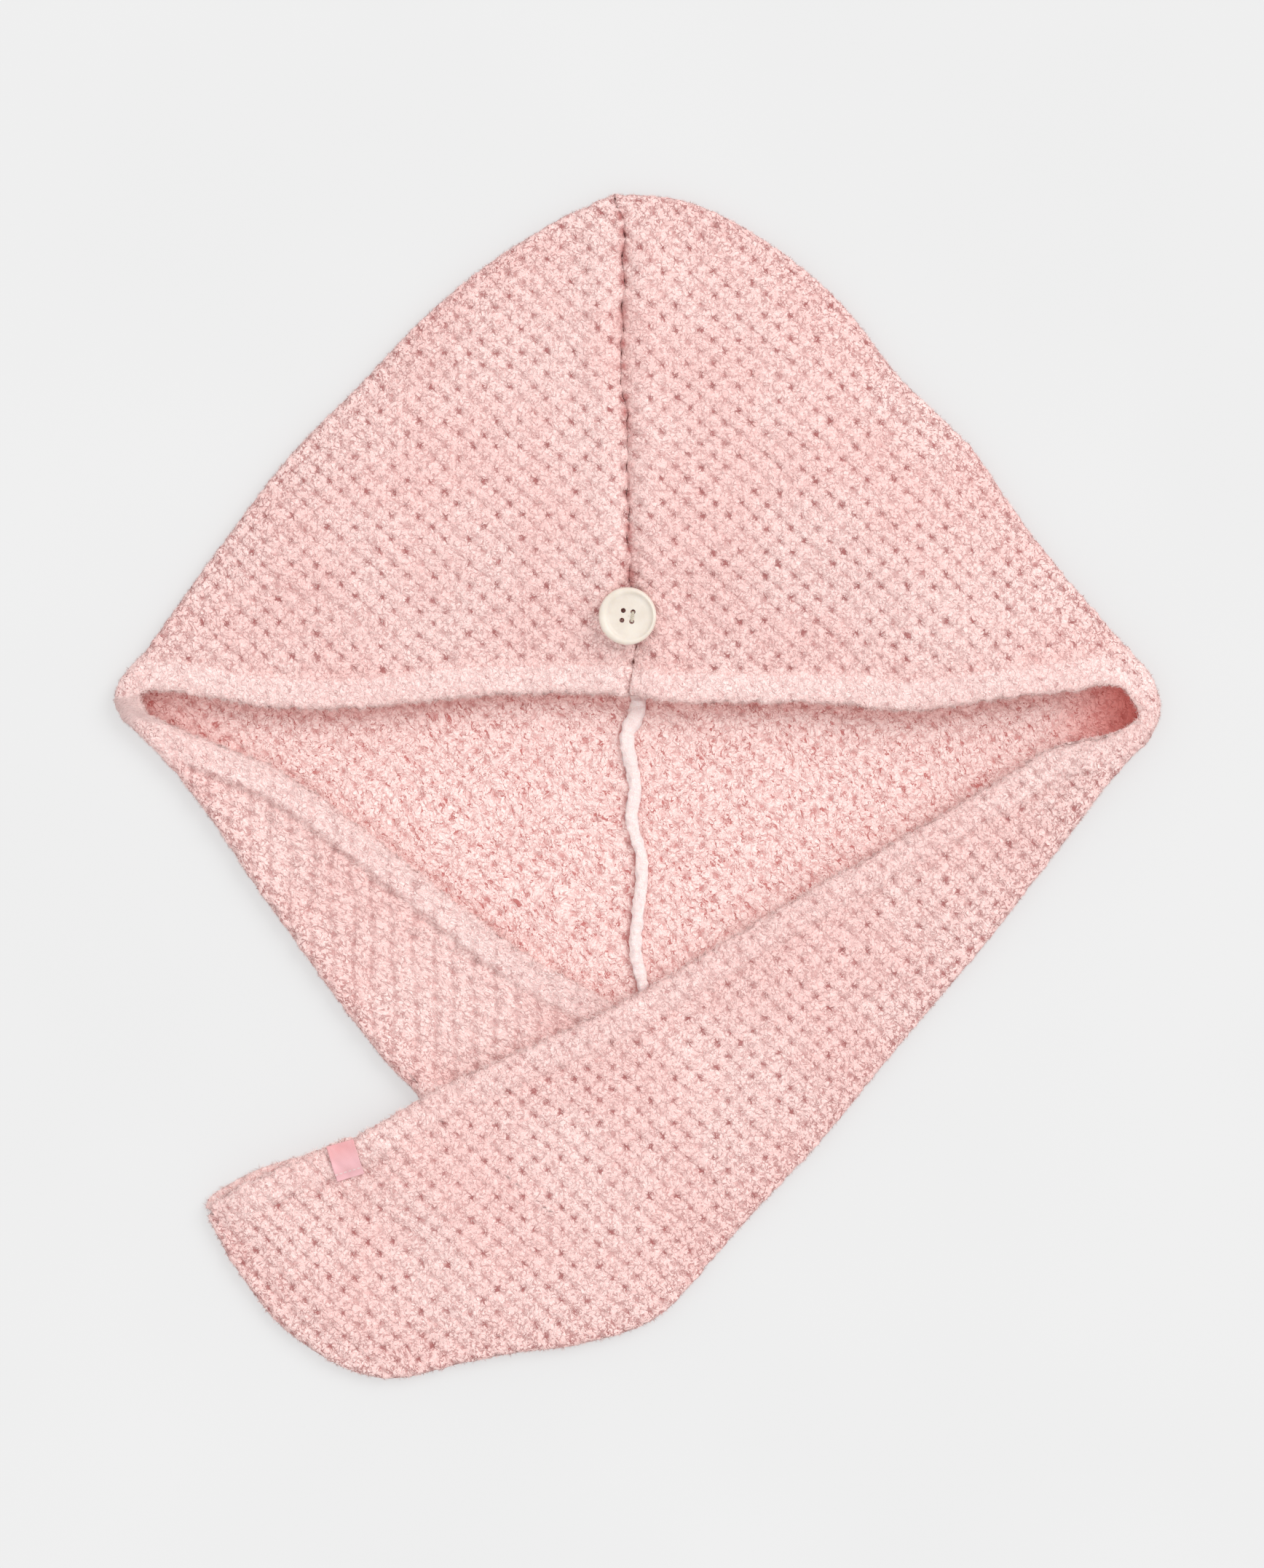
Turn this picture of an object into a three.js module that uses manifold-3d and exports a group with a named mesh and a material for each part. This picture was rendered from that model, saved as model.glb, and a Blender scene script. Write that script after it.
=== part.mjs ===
// Hair turban towel, laid flat: two mirror-image cloth panels sewn along one long seam, with a
// turned hem round the open mouth, a button on the front seam and a small label near the tail's tip.
// Millimetres, +Z up, +Y towards the hood's peak, lying on the plane z = 0.
import * as THREE from "three";
import { mergeVertices } from "three/addons/utils/BufferGeometryUtils.js";
import Module from "manifold-3d";

const { lerp, clamp, smoothstep, degToRad } = THREE.MathUtils;
const wasm = await Module();
wasm.setup();

// Size of the towel as it lies
const laidWidth = 427;
const laidLength = 484;

// Cloth, with a hem that is full over most of its band and thinner at its very edge
const wall = 2.6;
const hemThickness = 4.6;
const hemBand = 14;
const hemFullShare = 0.72;
const hemEdgeRadius = 1.8;
const hemEdgeShare = 0.3;
const pressedHem = 3.2;
const pieceGap = 0.3;

// Overlocked seam allowance inside the hood
const allowanceWidth = 4.6;
const allowanceHeight = 3.4;

// Room between the cloth faces: in the middle of the hood, inside the folds, under the left flap,
// under the tail, and where the tail crosses the flap and the seam allowance.
// Each spread is how far from a fold the room takes to change.
const hoodCrown = 15;
const foldSpread = 22;
const foldRoom = 1.6;
const flapGap = 1.1;
const flapSpread = 12;
const tailGap = 3.2;
const tailSpread = 16;
const crossingSlack = 2.1;
const crossingGap = Math.max(flapGap + pressedHem, pieceGap + allowanceHeight) + crossingSlack;
const crossingNear = 8;
const crossingFar = 40;

// Groove of the front seam, and the cloth puffed up on both sides of it
const grooveDepth = 2.4;
const grooveHalfWidth = 3.5;
const puffHeight = 1.3;
const puffDistance = 10;
const puffSpread = 6;

// Button
const buttonDiameter = 23.5;
const buttonThickness = 4;
const buttonRimWidth = 2.2;
const buttonDishDepth = 1.3;
const buttonHoleDiameter = 2;
const buttonHoleSpacing = 4;
const buttonTurn = -8;
const buttonAboveHem = 31;
const buttonAside = -2;

// Thread through the button's two right holes
const threadDiameter = 1;
const threadClearance = 0.3;
const threadStitchRise = 0.6;

// Label sewn into the hem
const labelWidth = 11.5;
const labelLength = 15;
const labelThickness = 0.8;
const labelFromTip = 60.5;
const labelFromEdge = 0.6;
const labelTurn = 17;

// Sections across the towel, from the peak (0) over the mouth line (1) to the tail's tip (2).
// x is a share of half the laid width, y of half the laid length.
const laidRows = [
  { at: 0, leftX: -0.043, leftY: 1, rightX: -0.043, rightY: 1 },
  { at: 0.09, leftX: -0.16, leftY: 0.951, rightX: 0.096, rightY: 0.986 },
  { at: 0.2, leftX: -0.287, leftY: 0.88, rightX: 0.241, rightY: 0.922 },
  { at: 0.32, leftX: -0.413, leftY: 0.786, rightX: 0.379, rightY: 0.824 },
  { at: 0.45, leftX: -0.535, leftY: 0.673, rightX: 0.504, rightY: 0.688 },
  { at: 0.58, leftX: -0.662, leftY: 0.56, rightX: 0.637, rightY: 0.571 },
  { at: 0.7, leftX: -0.762, leftY: 0.447, rightX: 0.739, rightY: 0.442 },
  { at: 0.82, leftX: -0.859, leftY: 0.33, rightX: 0.85, rightY: 0.32 },
  { at: 0.92, leftX: -0.939, leftY: 0.23, rightX: 0.947, rightY: 0.221 },
  { at: 0.97, leftX: -0.98, leftY: 0.19, rightX: 0.982, rightY: 0.184 },
  { at: 1, leftX: -1, leftY: 0.151, rightX: 1, rightY: 0.134 },
  { at: 1.03, leftX: -0.985, leftY: 0.114, rightX: 0.98, rightY: 0.083 },
  { at: 1.05, leftX: -0.965, leftY: 0.097, rightX: 0.932, rightY: 0.038 },
  { at: 1.12, leftX: -0.898, leftY: 0.036, rightX: 0.824, rightY: -0.086 },
  { at: 1.22, leftX: -0.811, leftY: -0.063, rightX: 0.67, rightY: -0.262 },
  { at: 1.32, leftX: -0.733, leftY: -0.167, rightX: 0.508, rightY: -0.431 },
  { at: 1.42, leftX: -0.649, leftY: -0.269, rightX: 0.35, rightY: -0.6 },
  { at: 1.52, leftX: -0.565, leftY: -0.373, rightX: 0.18, rightY: -0.762 },
  { at: 1.6, leftX: -0.48, leftY: -0.468, rightX: 0.036, rightY: -0.898 },
  { at: 1.66, leftX: -0.402, leftY: -0.551, rightX: -0.113, rightY: -0.944 },
  { at: 1.71, leftX: -0.475, leftY: -0.584, rightX: -0.235, rightY: -0.958 },
  { at: 1.75, leftX: -0.567, leftY: -0.612, rightX: -0.322, rightY: -0.973 },
  { at: 1.83, leftX: -0.672, leftY: -0.633, rightX: -0.497, rightY: -1 },
  { at: 1.91, leftX: -0.755, leftY: -0.66, rightX: -0.665, rightY: -0.926 },
  { at: 1.97, leftX: -0.817, leftY: -0.695, rightX: -0.774, rightY: -0.808 },
  { at: 2, leftX: -0.827, leftY: -0.714, rightX: -0.822, rightY: -0.727 },
];

// Hem of the left flap and hem of the right flap and tail, at the sections below the mouth line
const hemRows = [
  { at: 1, leftX: -0.951, leftY: 0.153, rightX: 0.955, rightY: 0.129 },
  { at: 1.01, leftX: -0.948, leftY: 0.14, rightX: 0.951, rightY: 0.11 },
  { at: 1.02, leftX: -0.937, leftY: 0.126, rightX: 0.904, rightY: 0.084 },
  { at: 1.035, leftX: -0.915, leftY: 0.112, rightX: 0.806, rightY: 0.068 },
  { at: 1.06, leftX: -0.86, leftY: 0.09, rightX: 0.723, rightY: 0.026 },
  { at: 1.12, leftX: -0.674, leftY: 0.02, rightX: 0.535, rightY: -0.071 },
  { at: 1.22, leftX: -0.462, leftY: -0.116, rightX: 0.269, rightY: -0.208 },
  { at: 1.32, leftX: -0.217, leftY: -0.282, rightX: 0.031, rightY: -0.335 },
  { at: 1.37, leftX: -0.04, leftY: -0.375, rightX: -0.075, rightY: -0.385 },
  { at: 1.42, leftX: -0.01, leftY: -0.444, rightX: -0.178, rightY: -0.428 },
  { at: 1.52, leftX: -0.161, leftY: -0.555, rightX: -0.338, rightY: -0.492 },
  { at: 1.6, leftX: -0.315, leftY: -0.574, rightX: -0.433, rightY: -0.536 },
  { at: 1.66, leftX: -0.402, leftY: -0.551, rightX: -0.505, rightY: -0.575 },
  { at: 1.75, leftX: -0.567, leftY: -0.612, rightX: -0.592, rightY: -0.607 },
  { at: 1.83, leftX: -0.672, leftY: -0.633, rightX: -0.665, rightY: -0.634 },
  { at: 1.91, leftX: -0.755, leftY: -0.66, rightX: -0.74, rightY: -0.667 },
  { at: 1.97, leftX: -0.817, leftY: -0.695, rightX: -0.807, rightY: -0.7 },
  { at: 2, leftX: -0.827, leftY: -0.714, rightX: -0.82, rightY: -0.715 },
];

// Sections where the left flap slips under the tail and where it has run out there,
// where the back seam reaches the tail's edge, and between which the seam allowance runs
const flapUnder = 1.36;
const flapEnd = 1.66;
const seamAtEdge = 1.59;
const allowanceFrom = 0.2;
const allowanceTo = 1.37;

// Lower edge of the front hem, from the left mouth corner (0) to the right one (1):
// its drop below the straight mouth line as a share of the hem band, and how far it stands open
const frontHemRows = [
  { at: 0, drop: -0.12, open: 0.3 },
  { at: 0.025, drop: -0.17, open: 0.34 },
  { at: 0.06, drop: -0.06, open: 0.38 },
  { at: 0.13, drop: 0.27, open: 0.45 },
  { at: 0.22, drop: 0.26, open: 0.5 },
  { at: 0.36, drop: -0.15, open: 0.46 },
  { at: 0.49, drop: -0.17, open: 0.42 },
  { at: 0.53, drop: 0, open: 0.42 },
  { at: 0.7, drop: 0.03, open: 0.5 },
  { at: 0.77, drop: 0.22, open: 0.56 },
  { at: 0.86, drop: -0.15, open: 0.74 },
  { at: 0.935, drop: -0.42, open: 0.82 },
  { at: 0.966, drop: -0.58, open: 0.84 },
  { at: 0.987, drop: -0.42, open: 0.82 },
  { at: 1, drop: 0.1, open: 0.8 },
];

// Height inside the hood as a share of its crown, and the two seams' places across the towel
const hoodRows = [
  { at: 0, crown: 0.2, frontSeam: 0.5, backSeam: 0.5 },
  { at: 0.09, crown: 0.42, frontSeam: 0.5, backSeam: 0.5 },
  { at: 0.32, crown: 0.8, frontSeam: 0.487, backSeam: 0.49 },
  { at: 0.58, crown: 1, frontSeam: 0.496, backSeam: 0.498 },
  { at: 0.82, crown: 0.92, frontSeam: 0.496, backSeam: 0.5 },
  { at: 1, crown: 0.6, frontSeam: 0.495, backSeam: 0.504 },
];
const backSeamRows = [
  { at: 1, across: 0.504 },
  { at: 1.048, across: 0.5 },
  { at: 1.11, across: 0.519 },
  { at: 1.149, across: 0.523 },
  { at: 1.194, across: 0.547 },
  { at: 1.254, across: 0.563 },
  { at: 1.301, across: 0.581 },
  { at: 1.339, across: 0.614 },
  { at: 1.42, across: 0.674 },
  { at: 1.52, across: 0.84 },
  { at: 1.59, across: 0.97 },
];

// Inner radius of the folds along the two edges, as shares of the fold room
const foldRows = [
  { at: 0, left: 0.74, right: 0.74 },
  { at: 0.4, left: 1.13, right: 1.26 },
  { at: 0.85, left: 1.13, right: 1.52 },
  { at: 1, left: 1.39, right: 2.57 },
  { at: 1.15, left: 1, right: 1.66 },
  { at: 1.4, left: 0.79, right: 1 },
  { at: 1.62, left: 0.79, right: 0.63 },
  { at: 2, left: 0.6, right: 0.26 },
];

// Soft dents and ridges of the upper cloth: middle, half length, half width, turn in degrees
// and height, all shares of the laid sizes except the turn, with the height a share of the wall
const dents = [
  { x: 0.42, y: 0.46, half: 0.42, spread: 0.07, turn: -48, height: 0.55 },
  { x: -0.5, y: 0.38, half: 0.34, spread: 0.06, turn: 40, height: 0.4 },
  { x: -0.28, y: 0.62, half: 0.3, spread: 0.05, turn: 62, height: -0.35 },
  { x: 0.2, y: 0.7, half: 0.26, spread: 0.05, turn: -70, height: -0.3 },
  { x: 0.3, y: -0.38, half: 0.4, spread: 0.05, turn: 40, height: 0.4 },
  { x: -0.3, y: -0.78, half: 0.3, spread: 0.035, turn: 8, height: -0.5 },
  { x: -0.62, y: -0.13, half: 0.3, spread: 0.03, turn: -55, height: -0.25 },
];

// Profile of the button from its foot over its rim into the dish: distance in from the edge as a
// share of the rim's width, and height as a share of the thickness
const buttonProfile = [
  { inward: 0.8, height: 0 },
  { inward: 0.2, height: 0.22 },
  { inward: 0, height: 0.55 },
  { inward: 0.2, height: 0.88 },
  { inward: 0.5, height: 1 },
  { inward: 0.85, height: 0.93 },
];
const dishEdgeInward = 1.4;

// Section of the seam allowance, as shares of its width and height
const allowanceSection = [
  { across: -0.5, up: 0 },
  { across: 0.5, up: 0 },
  { across: 0.46, up: 0.55 },
  { across: 0.26, up: 0.95 },
  { across: 0, up: 1 },
  { across: -0.26, up: 0.95 },
  { across: -0.46, up: 0.55 },
];

// How finely the pieces are faceted
const frontColumns = [0, 0.035, 0.085, 0.17, 0.34, 0.55, 0.75, 0.88, 0.95, 1];
const frontEndInHood = 0.62;
const hemColumns = [0, 0.1, 0.36, 0.68, 1].map((share) => share * hemBand);
const flapColumns = 5;
const foldSteps = 4;
const backColumns = 7;
const peakStation = 0.03;
const hoodStations = 12;
const cornerStations = [1.008, 1.02, 1.04, 1.075];
const lowerStations = 21;
const tipStations = [1.95, 1.975, 1.99, 2];
const allowanceSteps = 44;
const labelSteps = { wide: 3, long: 5 };
const buttonSegments = 40;
const holeSegments = 12;
const threadSegments = 8;

// Value of one column of a table, on a smooth curve through its rows
function lookUp(table, column, at) {
  const last = table.length - 1;
  let i = 0;
  while (i < last - 1 && table[i + 1].at < at) i += 1;
  const slope = (k) => {
    const a = table[Math.max(k - 1, 0)];
    const b = table[Math.min(k + 1, last)];
    return (b[column] - a[column]) / (b.at - a.at);
  };
  const from = table[i];
  const to = table[i + 1];
  const span = to.at - from.at;
  const s = clamp((at - from.at) / span, 0, 1);
  const [s2, s3] = [s * s, s * s * s];
  return (
    (2 * s3 - 3 * s2 + 1) * from[column] +
    (s3 - 2 * s2 + s) * span * slope(i) +
    (3 * s2 - 2 * s3) * to[column] +
    (s3 - s2) * span * slope(i + 1)
  );
}

function planPoint(table, side, at) {
  const x = lookUp(table, side + "X", at) * (laidWidth / 2);
  const y = lookUp(table, side + "Y", at) * (laidLength / 2);
  return new THREE.Vector2(x, y);
}

const outlineAt = (side, at) => planPoint(laidRows, side, at);
const hemAt = (side, at) => planPoint(hemRows, side, at);
const foldRadiusAt = (side, at) => wall + foldRoom * lookUp(foldRows, side, at);
const foldStartAt = (side, at) => inFromEdge(side, at, foldRadiusAt(side, at));

// Unit vector from the outline into the towel; at the peak both sides point straight down
function inwardAt(side, at) {
  const step = 0.004;
  const peakEnd = 0.12;
  const before = outlineAt(side, Math.max(at - step, 0));
  const after = outlineAt(side, Math.min(at + step, 2));
  const along = after.sub(before);
  const across = new THREE.Vector2(-along.y, along.x).multiplyScalar(side === "left" ? 1 : -1);
  const peakBlend = smoothstep(at, 0, peakEnd);
  return new THREE.Vector2(0, -1).lerp(across.normalize(), peakBlend).normalize();
}

function inFromEdge(side, at, distance) {
  return outlineAt(side, at).addScaledVector(inwardAt(side, at), distance);
}

// Distance from a plan point to a chain of plan points
function distanceTo(chain, point) {
  let best = Infinity;
  for (let i = 1; i < chain.length; i += 1) {
    const a = chain[i - 1];
    const run = chain[i].clone().sub(a);
    const share = clamp(point.clone().sub(a).dot(run) / Math.max(run.lengthSq(), 1e-9), 0, 1);
    best = Math.min(best, point.distanceTo(run.multiplyScalar(share).add(a)));
  }
  return best;
}

function chainOf(pointAt, from, to, count) {
  return Array.from({ length: count + 1 }, (_, i) => pointAt(lerp(from, to, i / count)));
}

// Point of a section at a share of the way from its left fold to its right one
function betweenFolds(at, share) {
  return foldStartAt("left", at).lerp(foldStartAt("right", at), share);
}

function frontSeamAt(at) {
  return betweenFolds(at, lookUp(hoodRows, "frontSeam", at));
}

function backSeamAt(at) {
  if (at < 1) return betweenFolds(at, lookUp(hoodRows, "backSeam", at));
  return betweenFolds(at, at < seamAtEdge ? lookUp(backSeamRows, "across", at) : 1);
}

// Share of the way along the front hem, from the left mouth corner to the right one
function mouthShare(x) {
  const [from, to] = [hemAt("left", 1).x, hemAt("right", 1).x];
  return clamp((x - from) / (to - from), 0, 1);
}

// How far a section is governed by the front hem: not at all high in the hood, fully at the mouth
const hemReach = 0.3;
const mouthBlend = (at) => smoothstep(at, 1 - hemReach, 1);

// Point of the front, moved down or up with the sway of its hem
function frontPoint(at, seam, fold, share) {
  const point = seam.clone().lerp(fold, share);
  const room = clamp(((1 - share) * seam.distanceTo(fold)) / (hemBand / 2), 0, 1);
  const drop = lookUp(frontHemRows, "drop", mouthShare(point.x)) * hemBand;
  point.y -= drop * mouthBlend(at) * room;
  return point;
}

// Share of the mouth line, from the front seam to the fold in a corner, that the front hem takes up
function mouthCornerShare(side) {
  const fold = foldStartAt(side, 1);
  return 1 - hemAt(side, 1).distanceTo(fold) / frontSeamAt(1).distanceTo(fold);
}

function frontHemChain(side) {
  const place = (share) => frontPoint(1, frontSeamAt(1), foldStartAt(side, 1), share);
  return chainOf(place, 0, mouthCornerShare(side), 30);
}

const outlines = {
  left: chainOf((at) => outlineAt("left", at), 0, flapEnd, 90),
  right: chainOf((at) => outlineAt("right", at), 0, 2, 110),
};
const hemLines = {
  left: [...frontHemChain("left"), ...chainOf((at) => hemAt("left", at), 1.001, flapEnd, 60)],
  right: [...frontHemChain("right"), ...chainOf((at) => hemAt("right", at), 1.001, 2, 90)],
};
const tailLowerHem = chainOf((at) => outlineAt("left", at), flapEnd, 2, 40);

// Half thickness of the cloth: a full roll along the hem, thinned at its very edge
function halfThickness(hemDistance, foldDistance, radius, rollThickness = hemThickness) {
  const roll = 1 - smoothstep(hemDistance, hemBand * hemFullShare, hemBand);
  const clearOfFold = smoothstep(foldDistance, radius, radius + hemBand / 2);
  const full = lerp(wall, rollThickness, roll * clearOfFold) / 2;
  const inset = clamp(hemDistance / hemEdgeRadius, 0, 1);
  const rounded = full * lerp(hemEdgeShare, 1, Math.sqrt(1 - (1 - inset) ** 2));
  return { full, rounded };
}

function dentHeight(point) {
  return dents.reduce((sum, dent) => {
    const dx = point.x - dent.x * (laidWidth / 2);
    const dy = point.y - dent.y * (laidLength / 2);
    const turn = degToRad(dent.turn);
    const along = (dx * Math.cos(turn) + dy * Math.sin(turn)) / (dent.half * (laidWidth / 2));
    const across = (dy * Math.cos(turn) - dx * Math.sin(turn)) / (dent.spread * (laidWidth / 2));
    return sum + dent.height * wall * Math.exp(-(along ** 2) - across ** 2);
  }, 0);
}

// Room under the front of the hood
function frontRoom(at, point, foldDistance, radius) {
  const crown = lookUp(hoodRows, "crown", at);
  const open = lookUp(frontHemRows, "open", mouthShare(point.x));
  const middle = hoodCrown * lerp(crown, open, mouthBlend(at));
  const atFold = 2 * (radius - wall);
  const rise = 1 - Math.exp(-Math.max(foldDistance - radius, 0) / foldSpread);
  const seamDistance = point.distanceTo(frontSeamAt(at));
  const groove = grooveDepth * Math.exp(-((seamDistance / grooveHalfWidth) ** 2));
  const puff = puffHeight * Math.exp(-(((seamDistance - puffDistance) / puffSpread) ** 2));
  const seamFade = smoothstep(at, peakStation, allowanceFrom);
  return lerp(atFold, Math.max(middle, atFold), rise) + (puff - groove) * seamFade;
}

// Room under the left flap, and under the right flap and the tail
function leftFlapRoom(foldDistance, radius) {
  return lerp(2 * (radius - wall), flapGap, smoothstep(foldDistance, radius, radius + flapSpread));
}

function tailRoom(at, point, foldDistance, radius) {
  const pastFlap = point.x - hemAt("left", Math.min(at, flapEnd)).x;
  const [fadeLength, crossingFrom] = [0.1, flapUnder - 0.16];
  const fadeIn = smoothstep(at, crossingFrom, crossingFrom + fadeLength);
  const fadeOut = 1 - smoothstep(at, flapEnd, flapEnd + fadeLength);
  const overFlap = 1 - smoothstep(pastFlap, crossingNear, crossingFar);
  const inner = lerp(tailGap, crossingGap, overFlap * fadeIn * fadeOut);
  return lerp(2 * (radius - wall), inner, smoothstep(foldDistance, radius, radius + tailSpread));
}

function upperRoom(side, at, point, foldDistance, radius) {
  if (at <= 1) return frontRoom(at, point, foldDistance, radius);
  if (side === "left") return leftFlapRoom(foldDistance, radius);
  return tailRoom(at, point, foldDistance, radius);
}

// Both faces of the upper cloth over one plan point; the flap under the tail has no dents,
// and the cloth over it only has ridges
function upperCloth(side, at, point) {
  const radius = foldRadiusAt(side, at);
  const foldDistance = distanceTo(outlines[side], point);
  const hemDistance = distanceTo(hemLines[side], point);
  const pressed = side === "left" ? smoothstep(at, flapUnder - 0.03, flapUnder + 0.04) : 0;
  const roll = lerp(hemThickness, pressedHem, pressed);
  const { full, rounded } = halfThickness(hemDistance, foldDistance, radius, roll);
  const lowest = at > 1 ? 0 : -wall / 3;
  const clearOfFold = smoothstep(foldDistance, radius, radius + hemBand);
  const dent = side === "left" && at > 1 ? 0 : Math.max(dentHeight(point), lowest) * clearOfFold;
  const middle = wall + upperRoom(side, at, point, foldDistance, radius) + full + dent;
  return {
    outer: new THREE.Vector3(point.x, point.y, middle + rounded),
    inner: new THREE.Vector3(point.x, point.y, middle - rounded),
  };
}

// Both faces of the lower cloth, which lies flat on the plane z = 0
function lowerCloth(side, at, point) {
  let [middle, half] = [wall / 2, wall / 2];
  if (side === "left" && at >= flapEnd) {
    const { rounded } = halfThickness(distanceTo(tailLowerHem, point), Infinity, 0, pressedHem);
    middle = Math.max(middle, rounded);
    half = rounded;
  }
  return {
    outer: new THREE.Vector3(point.x, point.y, middle - half),
    inner: new THREE.Vector3(point.x, point.y, middle + half),
  };
}

// Both faces of a fold at an angle from 90 degrees (upper cloth) to -90 degrees (lower cloth)
function foldCloth(side, at, angle, rise = 0) {
  const radius = foldRadiusAt(side, at);
  const face = (r) => {
    const place = inFromEdge(side, at, radius - r * Math.cos(degToRad(angle)));
    return new THREE.Vector3(place.x, place.y, radius + r * Math.sin(degToRad(angle)) + rise);
  };
  return { outer: face(radius), inner: face(radius - wall) };
}

// Open lower hem of the tail's under layer
function openEdge(at, distance) {
  return lowerCloth("left", at, inFromEdge("left", at, distance));
}

const foldAngles = Array.from({ length: foldSteps + 1 }, (_, i) => 90 - (180 * i) / foldSteps);
const upperAngles = foldAngles.filter((angle) => angle >= 0);
const lowerAngles = foldAngles.filter((angle) => angle < 0);

// Plan points of the front in one section of the hood, from the seam out to the fold
function frontPoints(side, at) {
  const seam = frontSeamAt(at);
  const fold = foldStartAt(side, at);
  const gapShare = pieceGap / 2 / Math.max(seam.distanceTo(fold), pieceGap);
  const frontEnd = lerp(frontEndInHood, mouthCornerShare(side), smoothstep(at, 0.5, 1));
  const cornerColumns = hemColumns.length + flapColumns - 1;
  const shares = frontColumns.map((share) => lerp(gapShare, frontEnd, share));
  for (let i = 1; i <= cornerColumns; i += 1) shares.push(lerp(frontEnd, 1, i / cornerColumns));
  return shares.map((share) => frontPoint(at, seam, fold, share));
}

// Plan points of a flap or of the tail in one section, from the hem out to the fold
function flapPoints(side, at) {
  const hem = hemAt(side, at);
  const fold = foldStartAt(side, at);
  const length = hem.distanceTo(fold);
  const scale = Math.min(1, length / (2 * hemBand));
  const distances = hemColumns.map((distance) => distance * scale);
  const from = distances.at(-1);
  for (let i = 1; i <= flapColumns; i += 1) distances.push(lerp(from, length, i / flapColumns));
  return distances.map((distance) => hem.clone().lerp(fold, distance / length));
}

function upperFaces(side, at) {
  const points = at <= 1 ? frontPoints(side, at) : flapPoints(side, at);
  return points.map((point) => upperCloth(side, at, point));
}

// Both faces of the lower cloth in one section, from the fold in to the back seam
function lowerFaces(side, at) {
  const start = foldStartAt(side, at);
  const seam = backSeamAt(at);
  const towardsStart = start.clone().sub(seam).normalize();
  const end = seam.addScaledVector(towardsStart, at < seamAtEdge ? pieceGap / 2 : 0);
  return Array.from({ length: backColumns + 1 }, (_, i) =>
    lowerCloth(side, at, start.clone().lerp(end, i / backColumns)),
  );
}

const repeat = (item, count) => Array.from({ length: count }, () => item);

// One section of the left panel, from its front seam or hem round the fold to the back seam
function leftSection(at) {
  const row = at > 1 ? repeat(null, frontColumns.length - 1) : [];
  if (at < flapEnd) {
    row.push(...upperFaces("left", at));
    row.push(...foldAngles.slice(1).map((angle) => foldCloth("left", at, angle)));
  } else {
    const edge = openEdge(at, 0);
    row.push(...repeat(edge, hemColumns.length + flapColumns + upperAngles.length - 1));
    row.push(openEdge(at, hemEdgeRadius), openEdge(at, foldRadiusAt("left", at)));
  }
  const lower = lowerFaces("left", at);
  row.push(...lower.slice(1));
  if (at < seamAtEdge) row.push(...repeat(lower.at(-1), lowerAngles.length));
  else {
    row.push(...lowerAngles.slice(0, -1).map((angle) => foldCloth("right", at, angle)));
    row.push(foldCloth("right", at, 0, -pieceGap / 2));
  }
  return row;
}

// One section of the right panel, from its front seam or hem round the fold to the back seam
function rightSection(at) {
  const row = at > 1 ? repeat(null, frontColumns.length - 1) : [];
  row.push(...upperFaces("right", at));
  if (at < seamAtEdge) {
    row.push(...foldAngles.slice(1).map((angle) => foldCloth("right", at, angle)));
    row.push(...lowerFaces("right", at).slice(1));
  } else {
    const edge = foldCloth("right", at, 0, pieceGap / 2);
    row.push(...upperAngles.slice(1, -1).map((angle) => foldCloth("right", at, angle)));
    row.push(...repeat(edge, 1 + lowerAngles.length + backColumns));
  }
  return row;
}

// Sections from the peak to the tip, closer together along the front hem and round the corners
function stations() {
  const bandTop = 1 - (hemBand * 1.4) / hoodHeight;
  const hood = Array.from({ length: hoodStations }, (_, i) => (bandTop * (i + 1)) / hoodStations);
  const band = hemColumns.map((distance) => 1 - distance / hoodHeight).reverse();
  const [from, to] = [cornerStations.at(-1), tipStations[0]];
  const lower = Array.from({ length: lowerStations }, (_, i) =>
    lerp(from, to, (i + 1) / (lowerStations + 1)),
  );
  return [0, peakStation, ...hood, ...band, ...cornerStations, ...lower, ...tipStations];
}

// Closed solid of a cloth whose two faces are given section by section
function clothSolid(rows) {
  const positions = [];
  const keys = new Map();
  const vertex = (point) => {
    const key = [point.x, point.y, point.z].map((value) => value.toFixed(3)).join();
    if (!keys.has(key)) {
      keys.set(key, positions.length / 3);
      positions.push(point.x, point.y, point.z);
    }
    return keys.get(key);
  };
  const triangles = [];
  const addTriangle = (a, b, c) => {
    if (a !== b && b !== c && c !== a) triangles.push(a, b, c);
  };
  const rim = new Map();
  const addCell = (points) => {
    const corners = points.map(({ outer, inner }) => ({ outer: vertex(outer), inner: vertex(inner) }));
    const [a, b, c, d] = corners;
    addTriangle(a.outer, b.outer, c.outer);
    addTriangle(a.outer, c.outer, d.outer);
    addTriangle(a.inner, c.inner, b.inner);
    addTriangle(a.inner, d.inner, c.inner);
    corners.forEach((from, i) => {
      const to = corners[(i + 1) % corners.length];
      const back = [to.outer, to.inner, from.outer, from.inner].join();
      if (rim.has(back)) rim.delete(back);
      else rim.set([from.outer, from.inner, to.outer, to.inner].join(), [from, to]);
    });
  };
  for (let r = 1; r < rows.length; r += 1)
    for (let c = 1; c < rows[r].length; c += 1) {
      const cell = [rows[r - 1][c - 1], rows[r][c - 1], rows[r][c], rows[r - 1][c]];
      if (cell.every(Boolean)) addCell(cell);
    }
  for (const [from, to] of rim.values()) {
    addTriangle(to.outer, from.outer, from.inner);
    addTriangle(to.outer, from.inner, to.inner);
  }
  const geometry = new THREE.BufferGeometry();
  geometry.setAttribute("position", new THREE.Float32BufferAttribute(positions, 3));
  geometry.setIndex(facingOut(positions, triangles));
  return geometry;
}

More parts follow.
